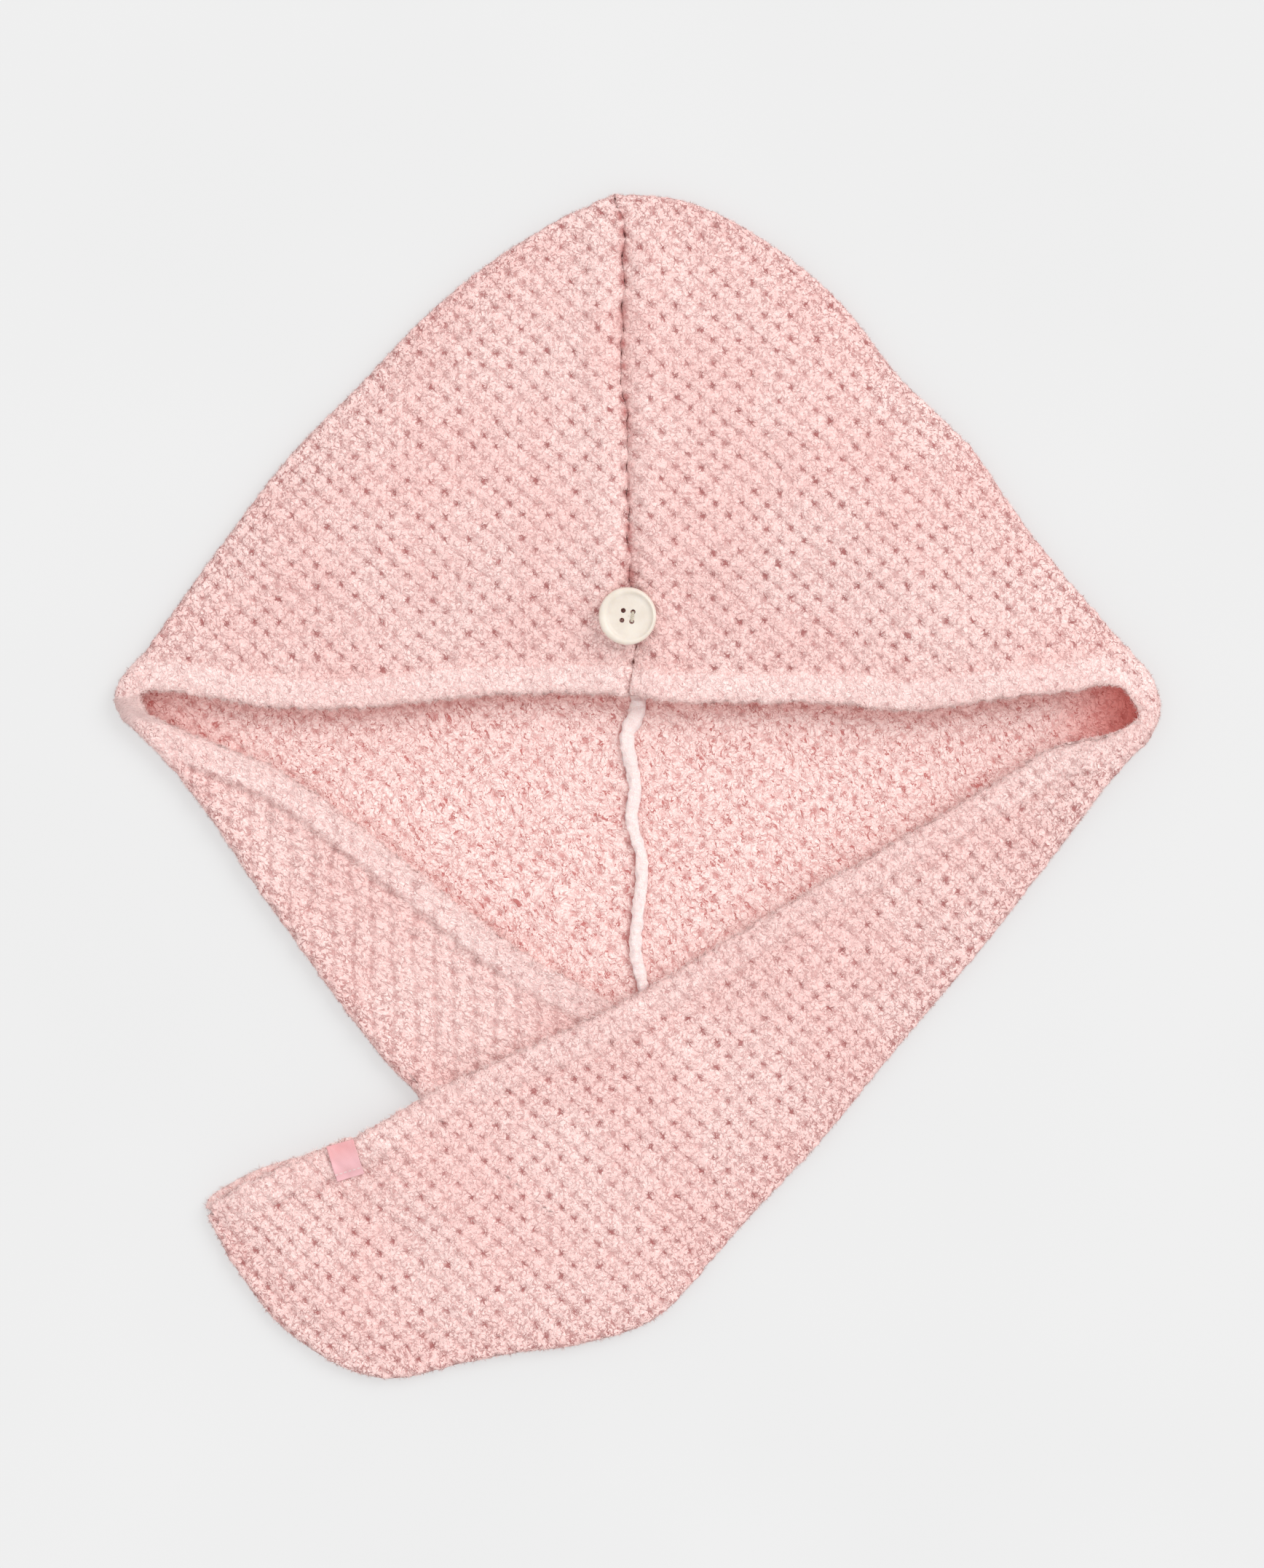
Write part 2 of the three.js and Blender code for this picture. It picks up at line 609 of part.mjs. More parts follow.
// Turns all faces round if they enclose a negative volume
function facingOut(positions, triangles) {
  const corner = (i) => new THREE.Vector3().fromArray(positions, 3 * triangles[i]);
  let volume = 0;
  for (let i = 0; i < triangles.length; i += 3)
    volume += corner(i).dot(corner(i + 1).cross(corner(i + 2)));
  return volume >= 0 ? triangles : triangles.slice().reverse();
}

function meshOf(name, geometry, colour, roughness) {
  const material = new THREE.MeshStandardMaterial({ color: colour, roughness, metalness: 0 });
  geometry.computeVertexNormals();
  const mesh = new THREE.Mesh(geometry, material);
  mesh.name = name;
  return mesh;
}

// Height of the cloth under a plan point, looking down
function topOf(meshes, x, y) {
  const above = new THREE.Vector3(x, y, laidLength);
  const down = new THREE.Raycaster(above, new THREE.Vector3(0, 0, -1));
  return down.intersectObjects(meshes, false)[0]?.point.z ?? 0;
}

function manifoldOf(geometry) {
  const bare = geometry.clone();
  bare.deleteAttribute("normal");
  bare.deleteAttribute("uv");
  const merged = mergeVertices(bare, 1e-4);
  return new wasm.Manifold(
    new wasm.Mesh({
      numProp: 3,
      vertProperties: merged.attributes.position.array,
      triVerts: new Uint32Array(merged.index.array),
    }),
  );
}

function geometryOf(solid) {
  const { vertProperties, triVerts } = solid.getMesh();
  const geometry = new THREE.BufferGeometry();
  geometry.setAttribute("position", new THREE.BufferAttribute(vertProperties, 3));
  geometry.setIndex(new THREE.BufferAttribute(triVerts, 1));
  return geometry;
}

// Turned profile about +Z, given as [radius, height] pairs from the axis and back to it
function turned(profile, segments) {
  const points = profile.map(([radius, height]) => new THREE.Vector2(radius, height));
  return new THREE.LatheGeometry(points, segments).rotateX(Math.PI / 2);
}

function peg(radius, from, to, x, y, segments) {
  const shape = new THREE.CylinderGeometry(radius, radius, to - from, segments);
  return shape.rotateX(Math.PI / 2).translate(x, y, (from + to) / 2);
}

// Button lying on z = 0: a rounded rim round a shallow dish, pierced by four holes
function buttonGeometry() {
  const radius = buttonDiameter / 2;
  const dishFloor = buttonThickness - buttonDishDepth;
  const rim = buttonProfile.map(({ inward, height }) => [
    radius - inward * buttonRimWidth,
    height * buttonThickness,
  ]);
  const dishEdge = [radius - dishEdgeInward * buttonRimWidth, dishFloor];
  const disc = manifoldOf(turned([[0, 0], ...rim, dishEdge, [0, dishFloor]], buttonSegments));
  const [holeRadius, offset] = [buttonHoleDiameter / 2, buttonHoleSpacing / 2];
  const holes = [-offset, offset].flatMap((x) =>
    [-offset, offset].map((y) => peg(holeRadius, -1, buttonThickness + 1, x, y, holeSegments)),
  );
  return holes.reduce((solid, hole) => solid.subtract(manifoldOf(hole)), disc);
}

// Thread: a leg in each of the two right holes, joined by a stitch over the dish and a bar below
function threadGeometry() {
  const radius = threadDiameter / 2;
  const offset = buttonHoleSpacing / 2;
  const top = buttonThickness - buttonDishDepth + threadStitchRise;
  const bottom = -threadClearance - threadDiameter;
  const legs = [-offset, offset].map((y) => peg(radius, bottom, top, offset, y, threadSegments));
  const bars = [top - radius / 2, bottom + radius / 2].map((z) =>
    new THREE.BoxGeometry(threadDiameter, buttonHoleSpacing + threadDiameter, radius)
      .translate(offset, 0, z),
  );
  return [...legs, ...bars].map(manifoldOf).reduce((solid, piece) => solid.add(piece));
}

// Rounded ridge along the back seam, standing on the inner face of the lower cloth
function allowanceGeometry() {
  const positions = [];
  for (let i = 0; i <= allowanceSteps; i += 1) {
    const seam = backSeamAt(lerp(allowanceFrom, allowanceTo, i / allowanceSteps));
    for (const { across, up } of allowanceSection) {
      const z = wall + pieceGap + up * allowanceHeight;
      positions.push(seam.x + across * allowanceWidth, seam.y, z);
    }
  }
  const n = allowanceSection.length;
  const end = allowanceSteps * n;
  const triangles = [];
  for (let first = 0; first < end; first += n)
    for (let k = 0; k < n; k += 1) {
      const [a, b] = [first + k, first + ((k + 1) % n)];
      triangles.push(a, a + n, b + n, a, b + n, b);
    }
  for (let k = 1; k < n - 1; k += 1) {
    triangles.push(0, k, k + 1);
    triangles.push(end, end + k + 1, end + k);
  }
  const geometry = new THREE.BufferGeometry();
  geometry.setAttribute("position", new THREE.Float32BufferAttribute(positions, 3));
  geometry.setIndex(facingOut(positions, triangles));
  return geometry;
}

// Thin label that lies over the tail and turns down round the hem's edge
function labelGeometry(cloth) {
  const hem = hemAt("right", labelSection());
  const turn = degToRad(labelTurn);
  const down = new THREE.Vector2(Math.sin(turn), -Math.cos(turn));
  const across = new THREE.Vector2(Math.cos(turn), Math.sin(turn));
  const reach = labelWidth / labelSteps.wide / 2;
  const near = [-reach, 0, reach];
  const cornerAt = (i, k) => {
    const place = hem
      .clone()
      .addScaledVector(down, labelFromEdge + (labelLength * i) / labelSteps.long)
      .addScaledVector(across, labelWidth * (k / labelSteps.wide - 0.5));
    const under = near.flatMap((dx) => near.map((dy) => topOf(cloth, place.x + dx, place.y + dy)));
    const inner = new THREE.Vector3(place.x, place.y, Math.max(...under) + pieceGap);
    return { outer: inner.clone().setZ(inner.z + labelThickness), inner };
  };
  const count = (steps) => Array.from({ length: steps + 1 }, (_, i) => i);
  return clothSolid(count(labelSteps.long).map((i) => count(labelSteps.wide).map((k) => cornerAt(i, k))));
}

// Section of the tail where the label is sewn in, its own distance up the hem from the tip
function labelSection() {
  const tip = hemAt("right", 2);
  let at = 2;
  while (at > 1.5 && hemAt("right", at).distanceTo(tip) < labelFromTip) at -= 0.005;
  return at;
}

const hoodHeight = frontSeamAt(0).distanceTo(frontSeamAt(1));
const rowPlaces = stations();

// The first section is the fold over the peak, where each panel keeps half the gap to the seam
function panelRows(section, sign) {
  const rows = rowPlaces.map(section);
  const aside = new THREE.Vector3((sign * pieceGap) / 2, 0, 0);
  rows[0] = rows[0].map(({ outer, inner }) => ({
    outer: outer.clone().add(aside),
    inner: inner.clone().add(aside),
  }));
  return rows;
}

const cloth = [
  meshOf("left_panel", clothSolid(panelRows(leftSection, -1)), 0xf3cbc7, 0.95),
  meshOf("right_panel", clothSolid(panelRows(rightSection, 1)), 0xf5cfcb, 0.95),
];
const allowance = meshOf("seam_allowance", allowanceGeometry(), 0xf7e3e0, 0.9);
const label = meshOf("label", labelGeometry(cloth), 0xf3aeb2, 0.5);

// The button lies on the front seam, on the highest cloth under it
const buttonPlace = frontSeamAt(1 - buttonAboveHem / hoodHeight);
buttonPlace.x += buttonAside;
const underButton = [0, 0.5, 1].flatMap((share) =>
  Array.from({ length: 24 }, (_, i) => {
    const reach = (share * buttonDiameter) / 2;
    const angle = (i / 24) * 2 * Math.PI;
    const [x, y] = [reach * Math.cos(angle), reach * Math.sin(angle)];
    return topOf(cloth, buttonPlace.x + x, buttonPlace.y + y);
  }),
);
const buttonGroup = new THREE.Group();
buttonGroup.add(
  meshOf("button", geometryOf(buttonGeometry()), 0xede5d6, 0.45),
  meshOf("button_thread", geometryOf(threadGeometry()), 0xe9dfce, 0.8),
);
buttonGroup.position.set(buttonPlace.x, buttonPlace.y, Math.max(...underButton) + pieceGap);
buttonGroup.rotation.z = degToRad(buttonTurn);

// The origin is the middle of the towel's outline, on the surface that it lies on
const towel = new THREE.Group();
towel.add(...cloth, allowance, label, buttonGroup);
const box = new THREE.Box3().setFromObject(towel);
const centre = box.getCenter(new THREE.Vector3());
towel.position.set(-centre.x, -centre.y, -box.min.z);

export default towel;
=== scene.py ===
"""Looks of a hair turban towel: waffle microfibre laid flat, seen straight from above.

Lengths are in millimetres until a mesh is written, +Z is up and +Y points to the hood's peak.
"""

import math

import bpy
import numpy as np
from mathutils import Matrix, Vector
from mathutils.bvhtree import BVHTree


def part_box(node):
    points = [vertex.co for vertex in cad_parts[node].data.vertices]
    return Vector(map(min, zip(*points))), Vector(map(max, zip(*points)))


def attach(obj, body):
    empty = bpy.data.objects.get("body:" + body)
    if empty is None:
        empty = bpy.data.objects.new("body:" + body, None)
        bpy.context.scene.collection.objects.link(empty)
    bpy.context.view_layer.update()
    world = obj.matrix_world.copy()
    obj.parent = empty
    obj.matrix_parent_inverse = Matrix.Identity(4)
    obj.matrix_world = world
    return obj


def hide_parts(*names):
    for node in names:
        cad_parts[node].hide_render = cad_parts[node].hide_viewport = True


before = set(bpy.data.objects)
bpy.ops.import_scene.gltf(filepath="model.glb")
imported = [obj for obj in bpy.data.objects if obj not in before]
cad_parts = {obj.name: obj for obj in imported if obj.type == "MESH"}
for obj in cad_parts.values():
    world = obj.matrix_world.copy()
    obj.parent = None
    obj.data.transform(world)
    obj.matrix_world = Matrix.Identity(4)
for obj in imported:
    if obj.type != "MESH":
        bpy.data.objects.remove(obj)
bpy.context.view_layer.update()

MM = 0.001
LIGHT = 1.25

# Sizes, as in the CAD model
LAID_WIDTH = 427.0
LAID_LENGTH = 484.0
WALL = 2.6
HEM_THICKNESS = 4.6
HEM_BAND = 14.0
HEM_FULL_SHARE = 0.72
HEM_EDGE_RADIUS = 1.8
HEM_EDGE_SHARE = 0.3
PRESSED_HEM = 3.2
PIECE_GAP = 0.3
ALLOWANCE_WIDTH = 4.6
ALLOWANCE_HEIGHT = 3.4
HOOD_CROWN = 15.0
FOLD_SPREAD = 22.0
FOLD_ROOM = 1.6
FLAP_GAP = 1.1
FLAP_SPREAD = 12.0
TAIL_GAP = 3.2
TAIL_SPREAD = 16.0
CROSSING_GAP = 6.4
CROSSING_NEAR = 8.0
CROSSING_FAR = 40.0
GROOVE_DEPTH = 2.4
GROOVE_HALF_WIDTH = 3.5
PUFF_HEIGHT = 1.3
PUFF_DISTANCE = 10.0
PUFF_SPREAD = 6.0
FLAP_UNDER = 1.36
FLAP_END = 1.66
SEAM_AT_EDGE = 1.59
ALLOWANCE_FROM = 0.2
ALLOWANCE_TO = 1.37
HEM_REACH = 0.3
PEAK_STATION = 0.03


class Table:
    """Rows of numbers, read on a smooth curve through them."""

    def __init__(self, names, rows):
        self.names = names.split()
        self.rows = np.array(rows, float)

    def at(self, name, at):
        t = self.rows[:, 0]
        v = self.rows[:, self.names.index(name)]
        slope = np.empty(len(t))
        slope[1:-1] = (v[2:] - v[:-2]) / (t[2:] - t[:-2])
        slope[0] = (v[1] - v[0]) / (t[1] - t[0])
        slope[-1] = (v[-1] - v[-2]) / (t[-1] - t[-2])
        at = np.asarray(at, float)
        i = np.clip(np.searchsorted(t, at, side="left") - 1, 0, len(t) - 2)
        span = t[i + 1] - t[i]
        s = np.clip((at - t[i]) / span, 0, 1)
        s2, s3 = s * s, s * s * s
        return (
            (2 * s3 - 3 * s2 + 1) * v[i]
            + (s3 - 2 * s2 + s) * span * slope[i]
            + (3 * s2 - 2 * s3) * v[i + 1]
            + (s3 - s2) * span * slope[i + 1]
        )


LAID = Table("at leftX leftY rightX rightY", [
    (0, -0.043, 1, -0.043, 1),
    (0.09, -0.16, 0.951, 0.096, 0.986),
    (0.2, -0.287, 0.88, 0.241, 0.922),
    (0.32, -0.413, 0.786, 0.379, 0.824),
    (0.45, -0.535, 0.673, 0.504, 0.688),
    (0.58, -0.662, 0.56, 0.637, 0.571),
    (0.7, -0.762, 0.447, 0.739, 0.442),
    (0.82, -0.859, 0.33, 0.85, 0.32),
    (0.92, -0.939, 0.23, 0.947, 0.221),
    (0.97, -0.98, 0.19, 0.982, 0.184),
    (1, -1, 0.151, 1, 0.134),
    (1.03, -0.985, 0.114, 0.98, 0.083),
    (1.05, -0.965, 0.097, 0.932, 0.038),
    (1.12, -0.898, 0.036, 0.824, -0.086),
    (1.22, -0.811, -0.063, 0.67, -0.262),
    (1.32, -0.733, -0.167, 0.508, -0.431),
    (1.42, -0.649, -0.269, 0.35, -0.6),
    (1.52, -0.565, -0.373, 0.18, -0.762),
    (1.6, -0.48, -0.468, 0.036, -0.898),
    (1.66, -0.402, -0.551, -0.113, -0.944),
    (1.71, -0.475, -0.584, -0.235, -0.958),
    (1.75, -0.567, -0.612, -0.322, -0.973),
    (1.83, -0.672, -0.633, -0.497, -1),
    (1.91, -0.755, -0.66, -0.665, -0.926),
    (1.97, -0.817, -0.695, -0.774, -0.808),
    (2, -0.827, -0.714, -0.822, -0.727),
])

HEM = Table("at leftX leftY rightX rightY", [
    (1, -0.951, 0.153, 0.955, 0.129),
    (1.01, -0.948, 0.14, 0.951, 0.11),
    (1.02, -0.937, 0.126, 0.904, 0.084),
    (1.035, -0.915, 0.112, 0.806, 0.068),
    (1.06, -0.86, 0.09, 0.723, 0.026),
    (1.12, -0.674, 0.02, 0.535, -0.071),
    (1.22, -0.462, -0.116, 0.269, -0.208),
    (1.32, -0.217, -0.282, 0.031, -0.335),
    (1.37, -0.04, -0.375, -0.075, -0.385),
    (1.42, -0.01, -0.444, -0.178, -0.428),
    (1.52, -0.161, -0.555, -0.338, -0.492),
    (1.6, -0.315, -0.574, -0.433, -0.536),
    (1.66, -0.402, -0.551, -0.505, -0.575),
    (1.75, -0.567, -0.612, -0.592, -0.607),
    (1.83, -0.672, -0.633, -0.665, -0.634),
    (1.91, -0.755, -0.66, -0.74, -0.667),
    (1.97, -0.817, -0.695, -0.807, -0.7),
    (2, -0.827, -0.714, -0.82, -0.715),
])

FRONT_HEM = Table("at drop open", [
    (0, -0.12, 0.3),
    (0.025, -0.17, 0.34),
    (0.06, -0.06, 0.38),
    (0.13, 0.27, 0.45),
    (0.22, 0.26, 0.5),
    (0.36, -0.15, 0.46),
    (0.49, -0.17, 0.42),
    (0.53, 0, 0.42),
    (0.7, 0.03, 0.5),
    (0.77, 0.22, 0.56),
    (0.86, -0.15, 0.74),
    (0.935, -0.42, 0.82),
    (0.966, -0.58, 0.84),
    (0.987, -0.42, 0.82),
    (1, 0.1, 0.8),
])

HOOD = Table("at crown frontSeam backSeam", [
    (0, 0.2, 0.5, 0.5),
    (0.09, 0.42, 0.5, 0.5),
    (0.32, 0.8, 0.487, 0.49),
    (0.58, 1, 0.496, 0.498),
    (0.82, 0.92, 0.496, 0.5),
    (1, 0.6, 0.495, 0.504),
])

BACK_SEAM = Table("at across", [
    (1, 0.504),
    (1.048, 0.5),
    (1.11, 0.519),
    (1.149, 0.523),
    (1.194, 0.547),
    (1.254, 0.563),
    (1.301, 0.581),
    (1.339, 0.614),
    (1.42, 0.674),
    (1.52, 0.84),
    (1.59, 0.97),
])

FOLD = Table("at left right", [
    (0, 0.74, 0.74),
    (0.4, 1.13, 1.26),
    (0.85, 1.13, 1.52),
    (1, 1.39, 2.57),
    (1.15, 1, 1.66),
    (1.4, 0.79, 1),
    (1.62, 0.79, 0.63),
    (2, 0.6, 0.26),
])

# Soft dents and ridges: middle, half length, half width, turn in degrees, height in walls
DENTS = [
    (0.42, 0.46, 0.42, 0.07, -48, 0.55),
    (-0.5, 0.38, 0.34, 0.06, 40, 0.4),
    (-0.28, 0.62, 0.3, 0.05, 62, -0.35),
    (0.2, 0.7, 0.26, 0.05, -70, -0.3),
    (0.3, -0.38, 0.4, 0.05, 40, 0.4),
    (-0.3, -0.78, 0.3, 0.035, 8, -0.5),
    (-0.62, -0.13, 0.3, 0.03, -55, -0.25),
]


# Shape of the laid cloth, as in the CAD model, for arrays of points
def smooth(x, low, high):
    t = np.clip((x - low) / (high - low), 0, 1)
    return t * t * (3 - 2 * t)


def mix(a, b, share):
    return a + (b - a) * share


def length_of(v):
    return np.sqrt((v * v).sum(-1))


def unit(v):
    return v / np.maximum(length_of(v), 1e-12)[..., None]


def plan(table, side, at):
    x = table.at(side + "X", at) * (LAID_WIDTH / 2)
    y = table.at(side + "Y", at) * (LAID_LENGTH / 2)
    return np.stack([x, y], -1)


def outline(side, at):
    return plan(LAID, side, at)


def hem(side, at):
    return plan(HEM, side, at)


def fold_radius(side, at):
    return WALL + FOLD_ROOM * FOLD.at(side, at)


def inward(side, at):
    at = np.asarray(at, float)
    along = outline(side, np.minimum(at + 0.004, 2)) - outline(side, np.maximum(at - 0.004, 0))
    sign = 1 if side == "left" else -1
    across = unit(np.stack([-along[..., 1], along[..., 0]], -1) * sign)
    return unit(mix(np.array([0.0, -1.0]), across, smooth(at, 0, 0.12)[..., None]))


def in_from_edge(side, at, distance):
    return outline(side, at) + inward(side, at) * np.asarray(distance, float)[..., None]


def fold_start(side, at):
    return in_from_edge(side, at, fold_radius(side, at))


def distance_to(chain, points):
    """Distance from each plan point to a chain of plan points."""
    a, run = chain[:-1], chain[1:] - chain[:-1]
    square = np.maximum((run * run).sum(1), 1e-9)
    best = np.empty(len(points))
    for k in range(0, len(points), 8192):
        away = points[k : k + 8192, None, :] - a[None]
        share = np.clip((away * run).sum(2) / square, 0, 1)
        gap = away - share[..., None] * run
        best[k : k + 8192] = np.sqrt((gap * gap).sum(2).min(1))
    return best


def between_folds(at, share):
    return mix(fold_start("left", at), fold_start("right", at), np.asarray(share, float)[..., None])


def front_seam(at):
    return between_folds(at, HOOD.at("frontSeam", at))


def back_seam(at):
    at = np.asarray(at, float)
    below = np.where(at < SEAM_AT_EDGE, BACK_SEAM.at("across", at), 1.0)
    return between_folds(at, np.where(at < 1, HOOD.at("backSeam", at), below))


MOUTH_FROM, MOUTH_TO = hem("left", 1)[0], hem("right", 1)[0]


def mouth_share(x):
    return np.clip((x - MOUTH_FROM) / (MOUTH_TO - MOUTH_FROM), 0, 1)


def mouth_blend(at):
    return smooth(at, 1 - HEM_REACH, 1)


def front_point(at, seam, fold, share):
    point = mix(seam, fold, share[..., None])
    room = np.clip((1 - share) * length_of(seam - fold) / (HEM_BAND / 2), 0, 1)
    drop = FRONT_HEM.at("drop", mouth_share(point[..., 0])) * HEM_BAND
    point[..., 1] -= drop * mouth_blend(at) * room
    return point


def mouth_corner_share(side):
    fold = fold_start(side, 1.0)
    return 1 - float(length_of(hem(side, 1.0) - fold) / length_of(front_seam(1.0) - fold))


CORNER = {side: mouth_corner_share(side) for side in ("left", "right")}


def front_hem_chain(side):
    share = np.linspace(0, CORNER[side], 60)
    return front_point(1.0, front_seam(1.0)[None], fold_start(side, 1.0)[None], share)


OUTLINES = {
    "left": outline("left", np.linspace(0, FLAP_END, 110)),
    "right": outline("right", np.linspace(0, 2, 130)),
}
HEM_LINES = {
    "left": np.vstack([front_hem_chain("left"), hem("left", np.linspace(1.001, FLAP_END, 80))]),
    "right": np.vstack([front_hem_chain("right"), hem("right", np.linspace(1.001, 2, 110))]),
}
FRONT_EDGE = np.vstack([front_hem_chain("left")[::-1], front_hem_chain("right")])
TAIL_LOWER_HEM = outline("left", np.linspace(FLAP_END, 2, 50))


def half_thickness(hem_distance, fold_distance, radius, roll_thickness):
    roll = 1 - smooth(hem_distance, HEM_BAND * HEM_FULL_SHARE, HEM_BAND)
    clear = smooth(fold_distance, radius, radius + HEM_BAND / 2)
    full = mix(WALL, roll_thickness, roll * clear) / 2
    inset = np.clip(hem_distance / HEM_EDGE_RADIUS, 0, 1)
    return full, full * mix(HEM_EDGE_SHARE, 1, np.sqrt(1 - (1 - inset) ** 2))


def dent_height(point):
    total = np.zeros(len(point))
    for x, y, half, spread, turn, height in DENTS:
        dx = point[:, 0] - x * LAID_WIDTH / 2
        dy = point[:, 1] - y * LAID_LENGTH / 2
        c, s = math.cos(math.radians(turn)), math.sin(math.radians(turn))
        along = (dx * c + dy * s) / (half * LAID_WIDTH / 2)
        across = (dy * c - dx * s) / (spread * LAID_WIDTH / 2)
        total += height * WALL * np.exp(-(along**2) - across**2)
    return total


def front_room(at, point, fold_distance, radius):
    crown = HOOD.at("crown", at)
    opened = FRONT_HEM.at("open", mouth_share(point[:, 0]))
    middle = HOOD_CROWN * mix(crown, opened, mouth_blend(at))
    at_fold = 2 * (radius - WALL)
    rise = 1 - np.exp(-np.maximum(fold_distance - radius, 0) / FOLD_SPREAD)
    seam = length_of(point - front_seam(at))
    groove = GROOVE_DEPTH * np.exp(-((seam / GROOVE_HALF_WIDTH) ** 2))
    puff = PUFF_HEIGHT * np.exp(-(((seam - PUFF_DISTANCE) / PUFF_SPREAD) ** 2))
    fade = smooth(at, PEAK_STATION, ALLOWANCE_FROM)
    return mix(at_fold, np.maximum(middle, at_fold), rise) + (puff - groove) * fade


def tail_room(at, point, fold_distance, radius):
    past = point[:, 0] - hem("left", np.minimum(at, FLAP_END))[:, 0]
    fade_in = smooth(at, FLAP_UNDER - 0.16, FLAP_UNDER - 0.06)
    fade_out = 1 - smooth(at, FLAP_END, FLAP_END + 0.1)
    over = 1 - smooth(past, CROSSING_NEAR, CROSSING_FAR)
    inner = mix(TAIL_GAP, CROSSING_GAP, over * fade_in * fade_out)
    return mix(2 * (radius - WALL), inner, smooth(fold_distance, radius, radius + TAIL_SPREAD))


def upper_cloth(side, at, point, face):
    """Height of one face (1 outer, -1 inner) of the upper cloth."""
    radius = fold_radius(side, at)
    fold_distance = distance_to(OUTLINES[side], point)
    hem_distance = distance_to(HEM_LINES[side], point)
    roll = np.full(len(at), HEM_THICKNESS)
    if side == "left":
        roll = mix(HEM_THICKNESS, PRESSED_HEM, smooth(at, FLAP_UNDER - 0.03, FLAP_UNDER + 0.04))
    full, rounded = half_thickness(hem_distance, fold_distance, radius, roll)
    front = front_room(at, point, fold_distance, radius)
    if side == "left":
        past = smooth(fold_distance, radius, radius + FLAP_SPREAD)
        below = mix(2 * (radius - WALL), FLAP_GAP, past)
    else:
        below = tail_room(at, point, fold_distance, radius)
    lowest = np.where(at > 1, 0, -WALL / 3)
    clear = smooth(fold_distance, radius, radius + HEM_BAND)
    dent = np.maximum(dent_height(point), lowest) * clear
    if side == "left":
        dent = np.where(at > 1, 0, dent)
    middle = WALL + np.where(at <= 1, front, below) + full + dent
    return middle + face * rounded, hem_distance, fold_distance


# Noise, the same on every run
def noise(x, y, cell, seed):
    """Smooth noise from -1 to 1 with the given cell in millimetres."""
    grid = np.random.default_rng(seed).uniform(-1, 1, (128, 128))
    u, v = x / cell, y / cell
    i, j = np.floor(u).astype(int), np.floor(v).astype(int)
    s, t = u - i, v - j
    s, t = s * s * (3 - 2 * s), t * t * (3 - 2 * t)
    a = mix(grid[i % 128, j % 128], grid[(i + 1) % 128, j % 128], s)
    b = mix(grid[i % 128, (j + 1) % 128], grid[(i + 1) % 128, (j + 1) % 128], s)
    return mix(a, b, t)


# Meshes from rows of different lengths
def strip(a, b, ta, tb):
    """Triangles between two chains of vertices, each with its rising parameter."""
    na, nb = len(a) - 1, len(b) - 1
    ends = np.concatenate([ta[1:], tb[1:]])
    kind = np.concatenate([np.zeros(na, int), np.ones(nb, int)])
    order = np.lexsort((kind, ends))
    is_a = kind[order] == 0
    i = np.cumsum(is_a) - is_a
    j = np.cumsum(~is_a) - ~is_a
    from_a = np.stack([a[i], a[np.minimum(i + 1, na)], b[j]], 1)
    from_b = np.stack([a[i], b[np.minimum(j + 1, nb)], b[j]], 1)
    return np.where(is_a[:, None], from_a, from_b)


class Patch:
    """One face of the cloth, as rows of vertices. A row is (at, [parameters across])."""

    def __init__(self, rows, corner=None):
        self.at = np.concatenate([np.full(len(us), at) for at, us in rows])
        self.u = np.concatenate([us for _, us in rows])
        starts = np.cumsum([0] + [len(us) for _, us in rows])
        self.rows = [np.arange(starts[k], starts[k + 1]) for k in range(len(rows))]
        self.row_at = np.array([at for at, _ in rows])
        self.row_u = [us for _, us in rows]
        self.corner = corner

    def moved(self, base):
        self.rows = [row + base for row in self.rows]

    def triangles(self):
        found = []
        for k in range(1, len(self.rows)):
            a, b, ta, tb = self.rows[k - 1], self.rows[k], self.row_u[k - 1], self.row_u[k]
            if self.corner is not None and self.row_at[k - 1] <= 1 < self.row_at[k]:
                from_corner = ta >= self.corner - 1e-9
                a, ta = a[from_corner], ta[from_corner]
                ta = np.where(ta <= 1, (ta - self.corner) / (1 - self.corner), ta)
            found.append(strip(a, b, ta, tb))
        return np.vstack(found)

    def start(self):
        """Vertices of the seam or hem edge, with parameters that both faces share."""
        hood = self.row_at <= 1
        if self.corner is None:
            return np.array([row[0] for row in self.rows]), self.row_at
        first = [row[0] for row, inside in zip(self.rows, hood) if inside]
        last = int(np.flatnonzero(hood)[-1])
        along = (self.row_u[last] > 0) & (self.row_u[last] <= self.corner + 1e-9)
        below = [row[0] for row, inside in zip(self.rows, hood) if not inside]
        index = np.concatenate([first, self.rows[last][along], below])
        mouth = 1 + self.row_u[last][along] / self.corner
        return index, np.concatenate([self.row_at[hood], mouth, 1 + self.row_at[~hood]])

    def end(self):
        return np.array([row[-1] for row in self.rows]), self.row_at


def stations(lines, spacing, marks):
    """Places of sections such that no line of the towel has them further apart than spacing."""
    fine = np.unique(np.concatenate([np.linspace(marks[0], marks[-1], 3000), marks]))
    steps = np.zeros(len(fine) - 1)
    for line, low, high in lines:
        inside = (fine[:-1] >= low - 1e-9) & (fine[1:] <= high + 1e-9)
        steps = np.maximum(steps, length_of(np.diff(line(fine), axis=0)) * inside)
    local = spacing(fine[:-1]) if callable(spacing) else spacing
    run = np.concatenate([[0], np.cumsum(steps / local)])
    found = []
    for low, high in zip(marks[:-1], marks[1:]):
        a, b = np.interp([low, high], fine, run)
        count = max(1, math.ceil(b - a))
        found.append(np.interp(np.linspace(a, b, count + 1)[:-1], run, fine))
        found[-1][0] = low
    return np.concatenate(found + [[marks[-1]]])


def spread(low, high, length, spacing, least=1):
    return np.linspace(low, high, max(least, math.ceil(length / spacing)) + 1)


